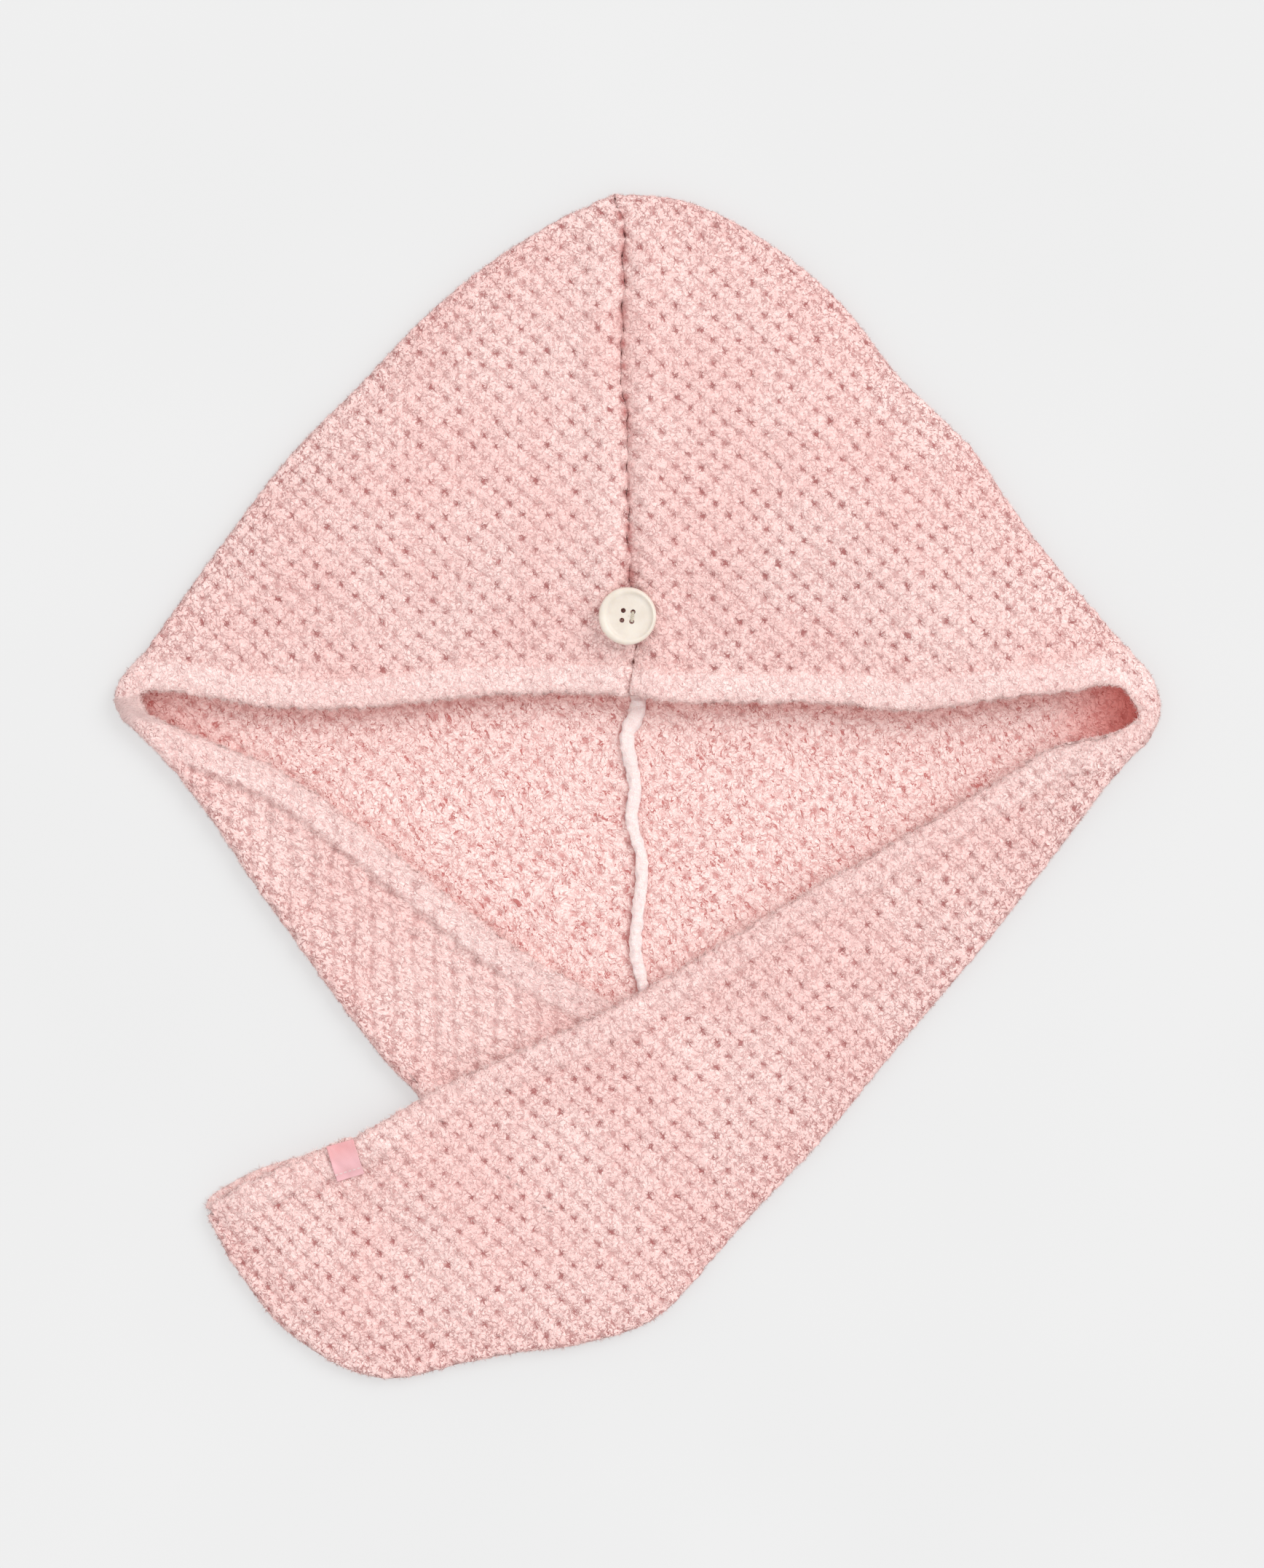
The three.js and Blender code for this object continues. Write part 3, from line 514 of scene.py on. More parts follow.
# Grid of the cloth in millimetres: fine where it shows, coarse where it is hidden
FINE = {"left": 1.26, "right": 1.34}
COARSE = 3.0
SEAM_FILL = 0.22


def upper_patch(side, spacing):
    """Upper cloth with its fold: 0 to 1 from the seam or hem to the fold, 1 to 2 round the fold."""
    last = FLAP_END if side == "left" else 2.0
    marks = [0.0, 1.0, last] if side == "left" else [0.0, 1.0, SEAM_AT_EDGE, last]
    lines = [
        (lambda at: outline(side, at), 0, last),
        (front_seam, 0, 1),
        (lambda at: hem(side, at), 1, last),
    ]
    rows = []
    for at in stations(lines, spacing, marks):
        fold = fold_start(side, at)
        arc = math.pi * float(fold_radius(side, at))
        half = side == "right" and at > SEAM_AT_EDGE
        round_it = spread(1, 1.5 if half else 2, arc * (0.5 if half else 1), spacing, 4)
        if at == 0:
            flat = np.array([1.0])
        elif at < 1:
            flat = spread(0, 1, length_of(front_seam(at) - fold), spacing)
        elif at == 1:
            whole = length_of(front_seam(1.0) - fold)
            corner = CORNER[side]
            flat = np.concatenate([
                spread(0, corner, whole * corner, spacing)[:-1],
                spread(corner, 1, whole * (1 - corner), spacing),
            ])
        else:
            flat = spread(0, 1, length_of(hem(side, at) - fold), spacing, 3)
        rows.append((at, np.concatenate([flat, round_it[1:]])))
        if side == "right" and at == SEAM_AT_EDGE:
            rows.append((at + 1e-6, rows[-1][1][rows[-1][1] <= 1.5 + 1e-9]))
    return Patch(rows, CORNER[side])


def lower_patch(side, spacing):
    """Lower cloth: -1 to 0 along the open tail hem, 0 to 1 from the fold to the back seam,
    1 to 2 up the right fold where the seam has reached it."""
    last = 2.0 if side == "left" else SEAM_AT_EDGE
    marks = [0.0, 1.0, SEAM_AT_EDGE, FLAP_END, last] if side == "left" else [0.0, 1.0, last]
    lines = [(lambda at: outline(side, at), 0, last), (back_seam, 0, last)]
    rows = []
    for at in stations(lines, spacing, marks):
        here = float(spacing(np.array([at]))[0]) if callable(spacing) else spacing
        width = float(length_of(fold_start(side, at) - back_seam(at)))
        first = min(0.3, 1.0 / max(width, 1e-6))
        us = spread(first, 1, width, here, 2)
        if side == "left" and at > FLAP_END:
            us = np.concatenate([spread(-1, 0, 4.0, here, 4)[:-1], us])
        if side == "left" and at > SEAM_AT_EDGE:
            us = np.concatenate([us, spread(1, 1.5, 5.0, here, 4)[1:]])
        rows.append((at, us))
        if side == "left" and at == SEAM_AT_EDGE:
            rows.append((at + 1e-6, np.concatenate([us, spread(1, 1.5, 5.0, here, 4)[1:]])))
        if side == "left" and at == FLAP_END:
            rows.append((at + 1e-6, np.concatenate([spread(-1, 0, 4.0, here, 4)[:-1], us])))
    return Patch(rows)


def seam_sway(at, point):
    """Small sideways waves of the front seam, the same for both panels."""
    near = np.exp(-((length_of(point - front_seam(np.minimum(at, 1.0))) / 7) ** 2)) * (at <= 1)
    rows = point[:, 1]
    sway = 0.8 * noise(rows, rows * 0, 6.5, 51) + 0.6 * noise(rows, rows * 0, 2.6, 52)
    return point + np.column_stack([sway * near * smooth(at, 0.02, 0.1), np.zeros(len(at))])


def place_upper(side, patch, face):
    """Places of an upper patch's vertices, with what the relief and the colours need."""
    at, u = patch.at, patch.u
    flat = np.minimum(u, 1)
    seam, fold = front_seam(at), fold_start(side, at)
    gap = 0.03 / np.maximum(length_of(seam - fold), 0.1)
    hood = front_point(at, seam, fold, mix(gap, 1, flat))
    below = mix(hem(side, at), fold, flat[:, None])
    point = np.where((at <= 1)[:, None], hood, below)
    z, hem_distance, fold_distance = upper_cloth(side, at, point, face)
    point = seam_sway(at, point)
    radius = fold_radius(side, at)
    angle = math.pi / 2 - math.pi * np.clip(u - 1, 0, 1)
    own = radius if face > 0 else radius - WALL
    round_plan = in_from_edge(side, at, radius - own * np.cos(angle))
    round_z = radius + own * np.sin(angle)
    if side == "right":
        round_z = np.where(at > SEAM_AT_EDGE, round_z + PIECE_GAP / 2 * (u - 1) * 2, round_z)
    on_fold = u > 1
    xyz = np.column_stack([
        np.where(on_fold[:, None], round_plan, point),
        np.where(on_fold, round_z, z),
    ])
    swept = own * (math.pi / 2 - angle)
    cloth = np.where(on_fold[:, None], fold - inward(side, at) * swept[:, None], point)
    return xyz, cloth, hem_distance, np.where(on_fold, 0, fold_distance)


def place_lower(side, patch, face):
    at, u = patch.at, patch.u
    start, seam = fold_start(side, at), back_seam(at)
    gap = np.where(at < SEAM_AT_EDGE, PIECE_GAP / 2, 0)
    end = seam + unit(start - seam) * gap[:, None]
    point = mix(start, end, np.clip(u, 0, 1)[:, None])
    on_hem = u < 0
    open_hem = in_from_edge(side, at, (1 + np.minimum(u, 0)) * fold_radius(side, at))
    point = np.where(on_hem[:, None], open_hem, point)
    middle = np.full(len(at), WALL / 2)
    half = np.full(len(at), WALL / 2)
    hem_distance = np.full(len(at), 1e3)
    if side == "left":
        tail = at >= FLAP_END
        hem_distance[tail] = distance_to(TAIL_LOWER_HEM, point[tail])
        _, rounded = half_thickness(hem_distance, 1e3, 0, PRESSED_HEM)
        middle = np.where(tail, np.maximum(middle, rounded), middle)
        half = np.where(tail, rounded, half)
    radius = fold_radius("right", at)
    angle = -math.pi / 2 + math.pi * np.clip(u - 1, 0, 1)
    own = radius if face > 0 else radius - WALL
    round_plan = in_from_edge("right", at, radius - own * np.cos(angle))
    round_z = radius + own * np.sin(angle) - PIECE_GAP / 2 * np.clip(u - 1, 0, 1) * 2
    on_fold = u > 1
    xyz = np.column_stack([
        np.where(on_fold[:, None], round_plan, point),
        np.where(on_fold, round_z, middle - face * half),
    ])
    return xyz, xyz[:, :2].copy(), hem_distance, np.full(len(at), 1e3)


# Relief of the waffle weave
CELL_X, CELL_Y = 5.22, 4.77
CELL_WIDTH = 7.04
COLUMN = 8.3


def weave_of(cloth, columns, inside):
    """Weave coordinates of plan points: pits at whole numbers, ribs along lines of whole a."""
    x, y = cloth[:, 0], cloth[:, 1]
    wave = 1.0 + 0.9 * inside
    x = x + wave * (0.9 * noise(x, y, 17, 11) + 0.55 * noise(x, y, 6.5, 12))
    y = y + wave * (0.9 * noise(x, y, 19, 13) + 0.45 * noise(x, y, 6.0, 14))
    a = x / (2 * CELL_X) + y / (2 * CELL_Y)
    b = -x / (2 * CELL_X) + y / (2 * CELL_Y)
    column_a = (x + 1.1 * noise(x, y, 9, 15)) / COLUMN
    column_b = y / 7.2 + 0.5 * column_a
    return mix(a, column_a, columns), mix(b, column_b, columns)


def relief(a, b, x, y, hem_share, inside):
    """Height of the weave in millimetres: puffed cells, pits, broken ribs and small nubs."""
    fa, fb = a - np.round(a), b - np.round(b)
    away = np.hypot(CELL_X * (fa - fb), CELL_Y * (fa + fb))
    pit = np.exp(-((away / 1.3) ** 2)) * (0.75 + 0.4 * noise(x, y, 11, 20))
    rib = np.exp(-((fa * CELL_WIDTH / 0.8) ** 2)) * np.clip(0.5 + 0.9 * noise(x, y, 6, 21), 0, 1)
    cross = np.exp(-((fb * CELL_WIDTH / 0.8) ** 2)) * np.clip(0.4 + 0.9 * noise(x, y, 5, 22), 0, 1)
    puff = np.abs(np.sin(math.pi * a) * np.sin(math.pi * b))
    nubs = 0.3 * noise(x, y, 2.1, 23) + 0.22 * noise(x, y, 3.4, 24) + 0.12 * noise(x, y, 1.2, 27)
    woven = 0.42 * puff - 0.42 * pit - (0.34 + 0.2 * inside) * rib - (0.3 - 0.06 * inside) * cross
    fluffy = 0.2 * noise(x, y, 2.6, 25) + 0.16 * noise(x, y, 5.2, 26)
    return mix(woven - 0.1, fluffy, 0.85 * hem_share) + nubs


def normals_of(xyz, triangles):
    a, b, c = (xyz[triangles[:, k]] for k in range(3))
    face = np.cross(b - a, c - a)
    total = np.zeros_like(xyz)
    for k in range(3):
        for axis in range(3):
            total[:, axis] += np.bincount(triangles[:, k], face[:, axis], len(xyz))
    return unit(total)


def make_mesh(name, xyz, triangles, vectors=None):
    """Object from vertices in millimetres, with extra vectors kept per vertex."""
    mesh = bpy.data.meshes.new(name)
    mesh.vertices.add(len(xyz))
    mesh.vertices.foreach_set("co", np.ascontiguousarray(xyz * MM, np.float32).ravel())
    mesh.loops.add(triangles.size)
    mesh.loops.foreach_set("vertex_index", np.ascontiguousarray(triangles, np.int32).ravel())
    mesh.polygons.add(len(triangles))
    mesh.polygons.foreach_set("loop_start", np.arange(0, triangles.size, 3, dtype=np.int32))
    mesh.polygons.foreach_set("use_smooth", np.ones(len(triangles), bool))
    for key, values in (vectors or {}).items():
        layer = mesh.attributes.new(key, "FLOAT_VECTOR", "POINT")
        layer.data.foreach_set("vector", np.ascontiguousarray(values, np.float32).ravel())
    mesh.update(calc_edges=True)
    mesh.validate()
    obj = bpy.data.objects.new(name, mesh)
    bpy.context.scene.collection.objects.link(obj)
    return obj


def joined(parts):
    """One loop of vertices from parts (index, parameter from 0 to 1), each shared end kept once."""
    index, place = [], []
    for k, (part, share) in enumerate(parts):
        drop = 1 if index and index[-1] == part[0] else 0
        index.extend(part[drop:])
        place.extend(k + np.clip(share[drop:], 0, 1))
    return np.array(index), np.array(place, float)


def rim_loop(side, upper, lower):
    first, first_at = upper.start()
    parts = [(first, first_at / first_at[-1])]
    parts.append((upper.rows[-1], (upper.row_u[-1] - upper.row_u[-1][0]) / 2))
    if side == "left":
        index, at = lower.start()
        tail = at >= FLAP_END
        parts.append((index[tail], (at[tail] - FLAP_END) / (2 - FLAP_END)))
    else:
        index, at = upper.end()
        tail = at >= SEAM_AT_EDGE
        parts.append((index[tail][::-1], (2 - at[tail][::-1]) / (2 - SEAM_AT_EDGE)))
    parts.append((lower.rows[-1], (lower.row_u[-1] - lower.row_u[-1][0]) / 3))
    index, at = lower.end()
    parts.append((index[::-1], (at[-1] - at[::-1]) / at[-1]))
    parts.append((lower.rows[0][::-1], 1 - lower.row_u[0][::-1]))
    parts.append((upper.rows[0][::-1], 2 - upper.row_u[0][::-1]))
    return joined(parts)


def panel(side):
    """Whole cloth panel as one closed mesh: fine where it shows, coarser where it is hidden."""
    def visible(at):
        return np.where((at > 0.93) & (at < 1.47), 1.15 * FINE[side], COARSE)

    upper_out, upper_in = upper_patch(side, FINE[side]), upper_patch(side, COARSE)
    lower_out, lower_in = lower_patch(side, COARSE), lower_patch(side, visible)
    patches = [upper_out, upper_in, lower_out, lower_in]
    xyz, vectors, zones, shades, faces = [], [], [], [], []
    push, lowest = [], []
    count = 0
    for patch, upper, face in zip(patches, (True, True, False, False), (1, -1, 1, -1)):
        patch.moved(count)
        count += len(patch.at)
        place = place_upper if upper else place_lower
        points, cloth, hem_distance, edge_distance = place(side, patch, face)
        inside = np.full(len(patch.at), 0.0 if face > 0 else 1.0)
        columns = np.zeros(len(patch.at))
        if side == "left" and upper:
            columns = smooth(patch.at, 1.0, 1.05)
        hem_share = 1 - smooth(hem_distance, HEM_BAND * 0.72, HEM_BAND * 1.05)
        if side == "right" and upper:
            hem_share *= 1 - 0.6 * smooth(patch.at, 1.0, 1.08)
        a, b = weave_of(cloth, columns, inside)
        height = relief(a, b, cloth[:, 0], cloth[:, 1], hem_share, inside)
        ragged = 1 - smooth(hem_distance, 0.4, 2.5)
        groove = np.exp(-(((hem_distance - HEM_BAND) / 1.5) ** 2))
        height -= groove * ((0.45 if side == "left" else 0.22) + 0.3 * noise(cloth[:, 0], cloth[:, 1], 6.0, 32))
        height += 0.35 * smooth(hem_distance, 0, 2) * (1 - smooth(hem_distance, HEM_BAND - 2.5, HEM_BAND - 0.5))
        small, large = (noise(cloth[:, 0], cloth[:, 1], *cell) for cell in ((1.4, 31), (2.8, 33)))
        height += ragged * (0.45 * small + 0.5 * large)
        if not upper or face < 0:
            height = np.minimum(height, 0.1) * (0.35 if face > 0 else 1.0)
        height = np.where(patch.u > 1.45, np.minimum(height, 0) * 0.6, height)
        if not upper:
            hidden = patch.at < 0.9
            height = np.where(hidden & (face < 0), 0, height)
        seam = length_of(points[:, :2] - front_seam(np.minimum(patch.at, 1.0)))
        if upper:
            height = np.where(patch.at <= 1, height * smooth(seam, -0.6, 1.6), height)
            height += SEAM_FILL * np.exp(-((seam / 1.3) ** 2)) * smooth(patch.at, 0.85, 0.89) * (patch.at <= 1)
        edge = np.exp(-np.minimum(edge_distance, hem_distance + 12) / 16)
        xyz.append(points)
        push.append(height)
        vectors.append(np.column_stack([a, b, columns]))
        zones.append(np.column_stack([hem_share, inside, edge]))
        spot = points[:, :2]
        # deep: painted shade, deep pink, inside the mouth's corners, stronger in the right one, and a painted
        # shadow on the inside just under the front hem
        right_end, left_end = smooth(spot[:, 0], 160, 206), smooth(-spot[:, 0], 148, 206)
        corner = np.where(spot[:, 0] > 0, 1.15 * right_end, 0.4 * left_end)
        deep = inside * corner * smooth(patch.at, 0.85, 0.97) * (1 - smooth(patch.at, 1.12, 1.2))
        under_hem = distance_to(FRONT_EDGE, spot) if not upper else np.full(len(patch.at), 99.0)
        deep = np.maximum(deep, 0.3 * inside * np.exp(-((under_hem / 4.5) ** 2)))
        # valley: painted shade, in patches, along the front seam's groove, fading out towards the front hem; on
        # the lower cloth's inner face, painted shade beside the back seam, stronger on the left
        patchy = np.clip(0.55 + 1.1 * noise(spot[:, 0] * 0.4, spot[:, 1], 3.1, 53), 0.05, 1.15)
        valley = np.exp(-((seam / 1.7) ** 2)) * (patch.at <= 1) * float(upper) * patchy
        valley *= 1 - 0.97 * smooth(patch.at, 0.8, 0.86)
        if not upper and face < 0:
            away = length_of(spot - back_seam(patch.at))
            valley = (0.9 if side == "left" else 0.35) * (1 - smooth(away, 2.4, 4.6)) * patchy
        shades.append(np.column_stack([deep, valley, np.minimum(hem_distance, 30)]))
        triangles = patch.triangles()
        faces.append(triangles if face > 0 else triangles[:, ::-1])
    last = FLAP_END if side == "left" else SEAM_AT_EDGE
    for upper, lower, turn in ((upper_out, lower_out, 1), (upper_in, lower_in, -1)):
        a, ta = lower.start()
        b, tb = upper.end()
        near_a, near_b = ta <= last, tb <= last
        faces.append(strip(a[near_a], b[near_b], ta[near_a], tb[near_b])[:, ::turn])
    outer, outer_at = rim_loop(side, upper_out, lower_out)
    inner, inner_at = rim_loop(side, upper_in, lower_in)
    faces.append(strip(outer, inner, outer_at, inner_at))
    xyz, faces = np.vstack(xyz), np.vstack(faces)
    faces = outward(xyz, faces[(faces != np.roll(faces, 1, axis=1)).all(1)])
    normals = normals_of(xyz, faces)
    xyz = xyz + normals * np.concatenate(push)[:, None]
    xyz[:, 2] = np.maximum(xyz[:, 2], 0.02)
    stored = {"weave": np.vstack(vectors), "zone": np.vstack(zones), "shade": np.vstack(shades)}
    return make_mesh(side + "_cloth", xyz, faces, stored)


def pile_piece(name, carrier, side_count, seed):
    """Loose fibres of the pile: single thin blades that stand out of the cloth, denser at its edges."""
    mesh = carrier.data
    count = len(mesh.vertices)
    xyz = np.empty(count * 3, np.float32)
    mesh.vertices.foreach_get("co", xyz)
    xyz = xyz.reshape(-1, 3).astype(float) / MM
    corners = np.empty(len(mesh.loops), np.int32)
    mesh.loops.foreach_get("vertex_index", corners)
    faces = corners.reshape(-1, 3)
    stored = {}
    for key in ("zone", "shade"):
        values = np.empty(count * 3, np.float32)
        mesh.attributes[key].data.foreach_get("vector", values)
        stored[key] = values.reshape(-1, 3)
    normals = normals_of(xyz, faces)
    a, b, c = (xyz[faces[:, k]] for k in range(3))
    cross = np.cross(b - a, c - a)
    area = length_of(cross) / 2
    up = cross[:, 2] / np.maximum(2 * area, 1e-9)
    centre = (a + b + c) / 3
    zone = stored["zone"][faces].mean(1)
    shown = np.where(zone[:, 1] < 0.5, up > -0.35, (up > 0.2) & (centre[:, 1] < 75))
    steep = 1 + 9.0 * smooth(1 - up, 0.15, 0.9)
    near_lip = np.exp(-((stored["shade"][faces, 2].mean(1) / 2.5) ** 2))
    weight = area * shown * (steep + 8.0 * near_lip)
    rng = np.random.default_rng(seed)
    pick = np.sort(rng.choice(len(faces), side_count, p=weight / weight.sum()))
    r1, r2 = np.sqrt(rng.random(side_count)), rng.random(side_count)
    shares = np.column_stack([1 - r1, r1 * (1 - r2), r1 * r2])
    foot = (xyz[faces[pick]] * shares[..., None]).sum(1)
    normal = unit((normals[faces[pick]] * shares[..., None]).sum(1))
    swirl = 2 * math.pi * (noise(foot[:, 0], foot[:, 1], 2.2, seed + 1) + 0.35 * rng.random(side_count))
    sideways = np.column_stack([np.cos(swirl), np.sin(swirl), np.zeros(side_count)])
    sideways = unit(sideways - normal * (sideways * normal).sum(1)[:, None])
    lift = rng.uniform(0.25, 1.0, side_count)
    way = unit(normal * lift[:, None] + sideways)
    leaning = smooth(1 - normal[:, 2], 0.3, 0.9)
    long = rng.uniform(0.7, 1.5, side_count) * (1 + 0.7 * near_lip[pick] + 0.5 * leaning)
    half = np.cross(way, normal)
    half = unit(half) * rng.uniform(0.07, 0.13, side_count)[:, None]
    tip = foot + way * long[:, None]
    blades = np.stack([foot - half, foot + half, tip], 1).reshape(-1, 3)
    blades[:, 2] = np.maximum(blades[:, 2], 0.02)
    shade = (stored["shade"][faces[pick]] * shares[..., None]).sum(1)
    shade = np.repeat(shade, 3, 0)
    shade[:, 2] = np.tile([0.0, 0.0, 1.0], side_count)
    fibres = make_mesh(name, blades, np.arange(3 * side_count).reshape(-1, 3), {"shade": shade})
    soft = unit(normal + 0.35 * sideways + np.array([0.0, 0.0, 0.3]))
    fibres.data.normals_split_custom_set_from_vertices(np.repeat(soft, 3, 0).astype(np.float32))
    return fibres


# Materials
class Nodes:
    """Short way to write a node tree: every call adds a node and returns its output."""

    def __init__(self, name):
        self.material = bpy.data.materials.new(name)
        self.material.use_nodes = True
        self.tree = self.material.node_tree
        self.shader = self.tree.nodes["Principled BSDF"]

    def put(self, socket, value):
        if isinstance(value, bpy.types.NodeSocket):
            self.tree.links.new(value, socket)
        elif isinstance(value, (tuple, list)) and len(value) == 3 and socket.type == "RGBA":
            socket.default_value = (*value, 1)
        else:
            socket.default_value = value

    def add(self, kind, output=0, settings=None, **inputs):
        node = self.tree.nodes.new("ShaderNode" + kind)
        for key, value in (settings or {}).items():
            setattr(node, key, value)
        for key, value in inputs.items():
            self.put(node.inputs[key.replace("_", " ")], value)
        return node.outputs[output]

    def parts(self, vector):
        return tuple(self.add("SeparateXYZ", k, Vector=vector) for k in range(3))

    def stored(self, name):
        """The three numbers of a vector kept on the mesh."""
        return self.parts(self.add("Attribute", 1, {"attribute_name": name}))

    def place(self):
        """Place on the piece in millimetres."""
        scaled = self.vector("SCALE", self.add("TexCoord", 3))
        scaled.node.inputs["Scale"].default_value = 1 / MM
        return scaled

    def math(self, operation, *values, clamp=False):
        node = self.tree.nodes.new("ShaderNodeMath")
        node.operation, node.use_clamp = operation, clamp
        for socket, value in zip(node.inputs, values):
            self.put(socket, value)
        return node.outputs[0]

    def chain(self, operation, values):
        total = values[0]
        for value in values[1:]:
            total = self.math(operation, total, value)
        return total

    def times(self, *values):
        return self.chain("MULTIPLY", values)

    def most(self, *values):
        return self.chain("MAXIMUM", values)

    def plus(self, a, b):
        return self.math("ADD", a, b)

    def minus(self, a, b):
        return self.math("SUBTRACT", a, b)

    def scaled(self, value, factor, more):
        return self.math("MULTIPLY_ADD", value, factor, more)

    def wave(self, value, turns=1.0):
        return self.math("SINE", self.times(value, 2 * math.pi * turns))

    def off_whole(self, value):
        """How far a number is from the nearest whole one."""
        return self.minus(value, self.math("ROUND", value))

    def vector(self, operation, *values):
        node = self.tree.nodes.new("ShaderNodeVectorMath")
        node.operation = operation
        for socket, value in zip(node.inputs, values):
            self.put(socket, value)
        return node.outputs["Vector"]

    def range(self, value, low, high, to_low=0.0, to_high=1.0):
        node = self.tree.nodes.new("ShaderNodeMapRange")
        node.interpolation_type = "SMOOTHSTEP"
        keys = ("Value", "From Min", "From Max", "To Min", "To Max")
        for key, item in zip(keys, (value, low, high, to_low, to_high)):
            self.put(node.inputs[key], item)
        return node.outputs[0]

    def blend(self, share, a, b):
        node = self.tree.nodes.new("ShaderNodeMix")
        node.data_type = "RGBA"
        for index, value in ((0, share), (6, a), (7, b)):
            self.put(node.inputs[index], value)
        return node.outputs[2]

    def noise(self, place, per_mm, detail=2.0, roughness=0.5, output=0, flat=False):
        settings = {"noise_dimensions": "2D"} if flat else None
        inputs = dict(Vector=place, Scale=per_mm, Detail=detail, Roughness=roughness)
        return self.add("TexNoise", output, settings, **inputs)

    def cells(self, feature, place, per_mm):
        settings = {"feature": feature, "voronoi_dimensions": "2D"}
        return self.add("TexVoronoi", 0, settings, Vector=place, Scale=per_mm)

    def bump(self, height, distance, strength=1.0):
        return self.add("Bump", Height=height, Distance=distance, Strength=strength)

    def finish(self, **inputs):
        for key, value in inputs.items():
            self.put(self.shader.inputs[key.replace("_", " ")], value)
        self.material.cycles.emission_sampling = "NONE"
        return self.material


def linear(*rgb):
    return tuple(((c / 255 + 0.055) / 1.055) ** 2.4 if c > 10 else c / 255 / 12.92 for c in rgb)


PINK_LOW = linear(251, 216, 211)
PINK_HIGH = linear(253, 225, 220)
PINK_HEM = linear(255, 238, 234)
PINK_INSIDE = linear(255, 233, 228)
# Painted shade in the low spots between the tufts of the pile
PINK_HOLLOW_SHADE = linear(232, 176, 172)
# Painted shade in the front seam's groove and beside the back seam
PINK_VALLEY_SHADE = linear(180, 96, 92)
# Painted shade inside the mouth's corners and painted shadow under the front hem
PINK_POCKET_SHADE = linear(214, 112, 104)
# Painted shade in the creases and pits of the weave, on the outer and the inner face
PINK_CREASE_SHADE = linear(158, 84, 82)
PINK_CREASE_SHADE_INSIDE = linear(176, 78, 74)
PINK_TIP = linear(255, 236, 231)
# Painted glow of the inner face
PINK_PAINTED_GLOW = linear(255, 150, 140)


def seen(*rgb):
    """Colour that looks like rgb under this scene's light."""
    return tuple(c / LIGHT for c in linear(*rgb))


# Creases of the weave. Each pit has legs: turn in degrees, half width, half length
PIT_LEGS = ((-58, 0.5, 3.0), (38, 0.45, 2.0), (-8, 0.4, 1.7))
STROKE_TURN = math.radians(-30)
STROKE_SCALE = (1.1, 0.36, 0.0)
CURL_REACH = 3.2
PIT_WANDER = (2.6, 2.4)
NUBS_PER_MM, FUR_PER_MM = 0.5, 1.35


def pit_star(n, off_x, off_y, away):
    """Short creases that run out from each pit."""
    mark = n.range(away, 1.0, 0.15, 0.0, 0.8)
    for turn, wide, long in PIT_LEGS:
        c, s = math.cos(math.radians(turn)), math.sin(math.radians(turn))
        along = n.plus(n.times(off_x, c / long), n.times(off_y, s / long))
        across = n.minus(n.times(off_y, c / wide), n.times(off_x, s / wide))
        far = n.plus(n.times(along, along), n.times(across, across))
        mark = n.most(mark, n.range(far, 1.0, 0.1))
    return mark


def crease_share(n, spot, curly, shake, nub):
    """How deep in a crease a place of the cloth is, from 0 to 1."""
    a, b, columns = n.stored("weave")
    hem_share, inside, edge = n.stored("zone")
    slant = n.add("VectorRotate", 0, {"rotation_type": "Z_AXIS"}, Vector=curly, Angle=STROKE_TURN)
    slant = n.vector("MULTIPLY", slant, STROKE_SCALE)

    off_a, off_b = n.off_whole(a), n.off_whole(b)
    wander_x, wander_y, _ = n.parts(shake)
    off_x = n.scaled(wander_x, PIT_WANDER[0], n.times(n.minus(off_a, off_b), CELL_X))
    off_y = n.scaled(wander_y, PIT_WANDER[1], n.times(n.plus(off_a, off_b), CELL_Y))
    away = n.math("SQRT", n.plus(n.times(off_x, off_x), n.times(off_y, off_y)))
    strong = n.range(n.noise(spot, 0.14, flat=True), 0.3, 0.62, 0.35, 1.0)
    loose = n.most(n.times(inside, 0.25), n.times(columns, 0.3))
    calm = n.minus(1.0, n.most(n.times(hem_share, 0.62), loose))
    pit = n.times(pit_star(n, off_x, off_y, away), strong, calm)

    gate = n.range(n.noise(spot, 0.42, 2.0, 0.6, flat=True), 0.44, 0.58)
    gate = n.times(gate, n.scaled(edge, 0.4, 0.6))
    gate = n.most(gate, n.times(n.range(away, 3.0, 0.8), strong, calm))
    quiet = n.minus(1.0, n.times(hem_share, 0.45))
    line = n.times(n.range(nub, 0.24, 0.06), gate, quiet, 0.8)

    stroke = n.math("ABSOLUTE", n.minus(n.noise(slant, 0.5, 1.0, 0.45, flat=True), 0.5))
    stroke = n.range(stroke, n.scaled(inside, 0.012, 0.034), 0.008)
    lean = n.most(inside, n.scaled(edge, 0.5, 0.5))
    dash = n.times(stroke, lean, n.range(n.noise(slant, 0.42, 1.0, flat=True), 0.38, 0.54))

    rib, cross = (n.times(n.math("ABSOLUTE", off), CELL_WIDTH) for off in (off_a, off_b))
    rib = n.times(n.range(rib, 0.75, 0.1), n.range(n.noise(spot, 0.3, 1.0, flat=True), 0.42, 0.62))
    open_cross = n.range(n.noise(slant, 0.33, 1.0, flat=True), 0.48, 0.66)
    cross = n.times(n.range(cross, 0.7, 0.1), open_cross, 0.7)
    fold = n.times(n.most(rib, cross), calm, n.range(nub, 0.2, 0.0, 0.3, 1.0))

    bent = n.scaled(n.wave(b, 2), 0.07, a)
    groove = n.range(n.times(n.math("ABSOLUTE", n.off_whole(bent)), COLUMN), 1.0, 0.15)
    open_groove = n.range(n.noise(spot, 0.3, flat=True), 0.35, 0.6, 0.25, 1.0)
    fold = n.most(fold, n.times(groove, open_groove, columns, calm, 0.8))
    return n.math("MAXIMUM", n.most(line, pit, n.times(dash, 0.95)), n.times(fold, 0.8), clamp=True)


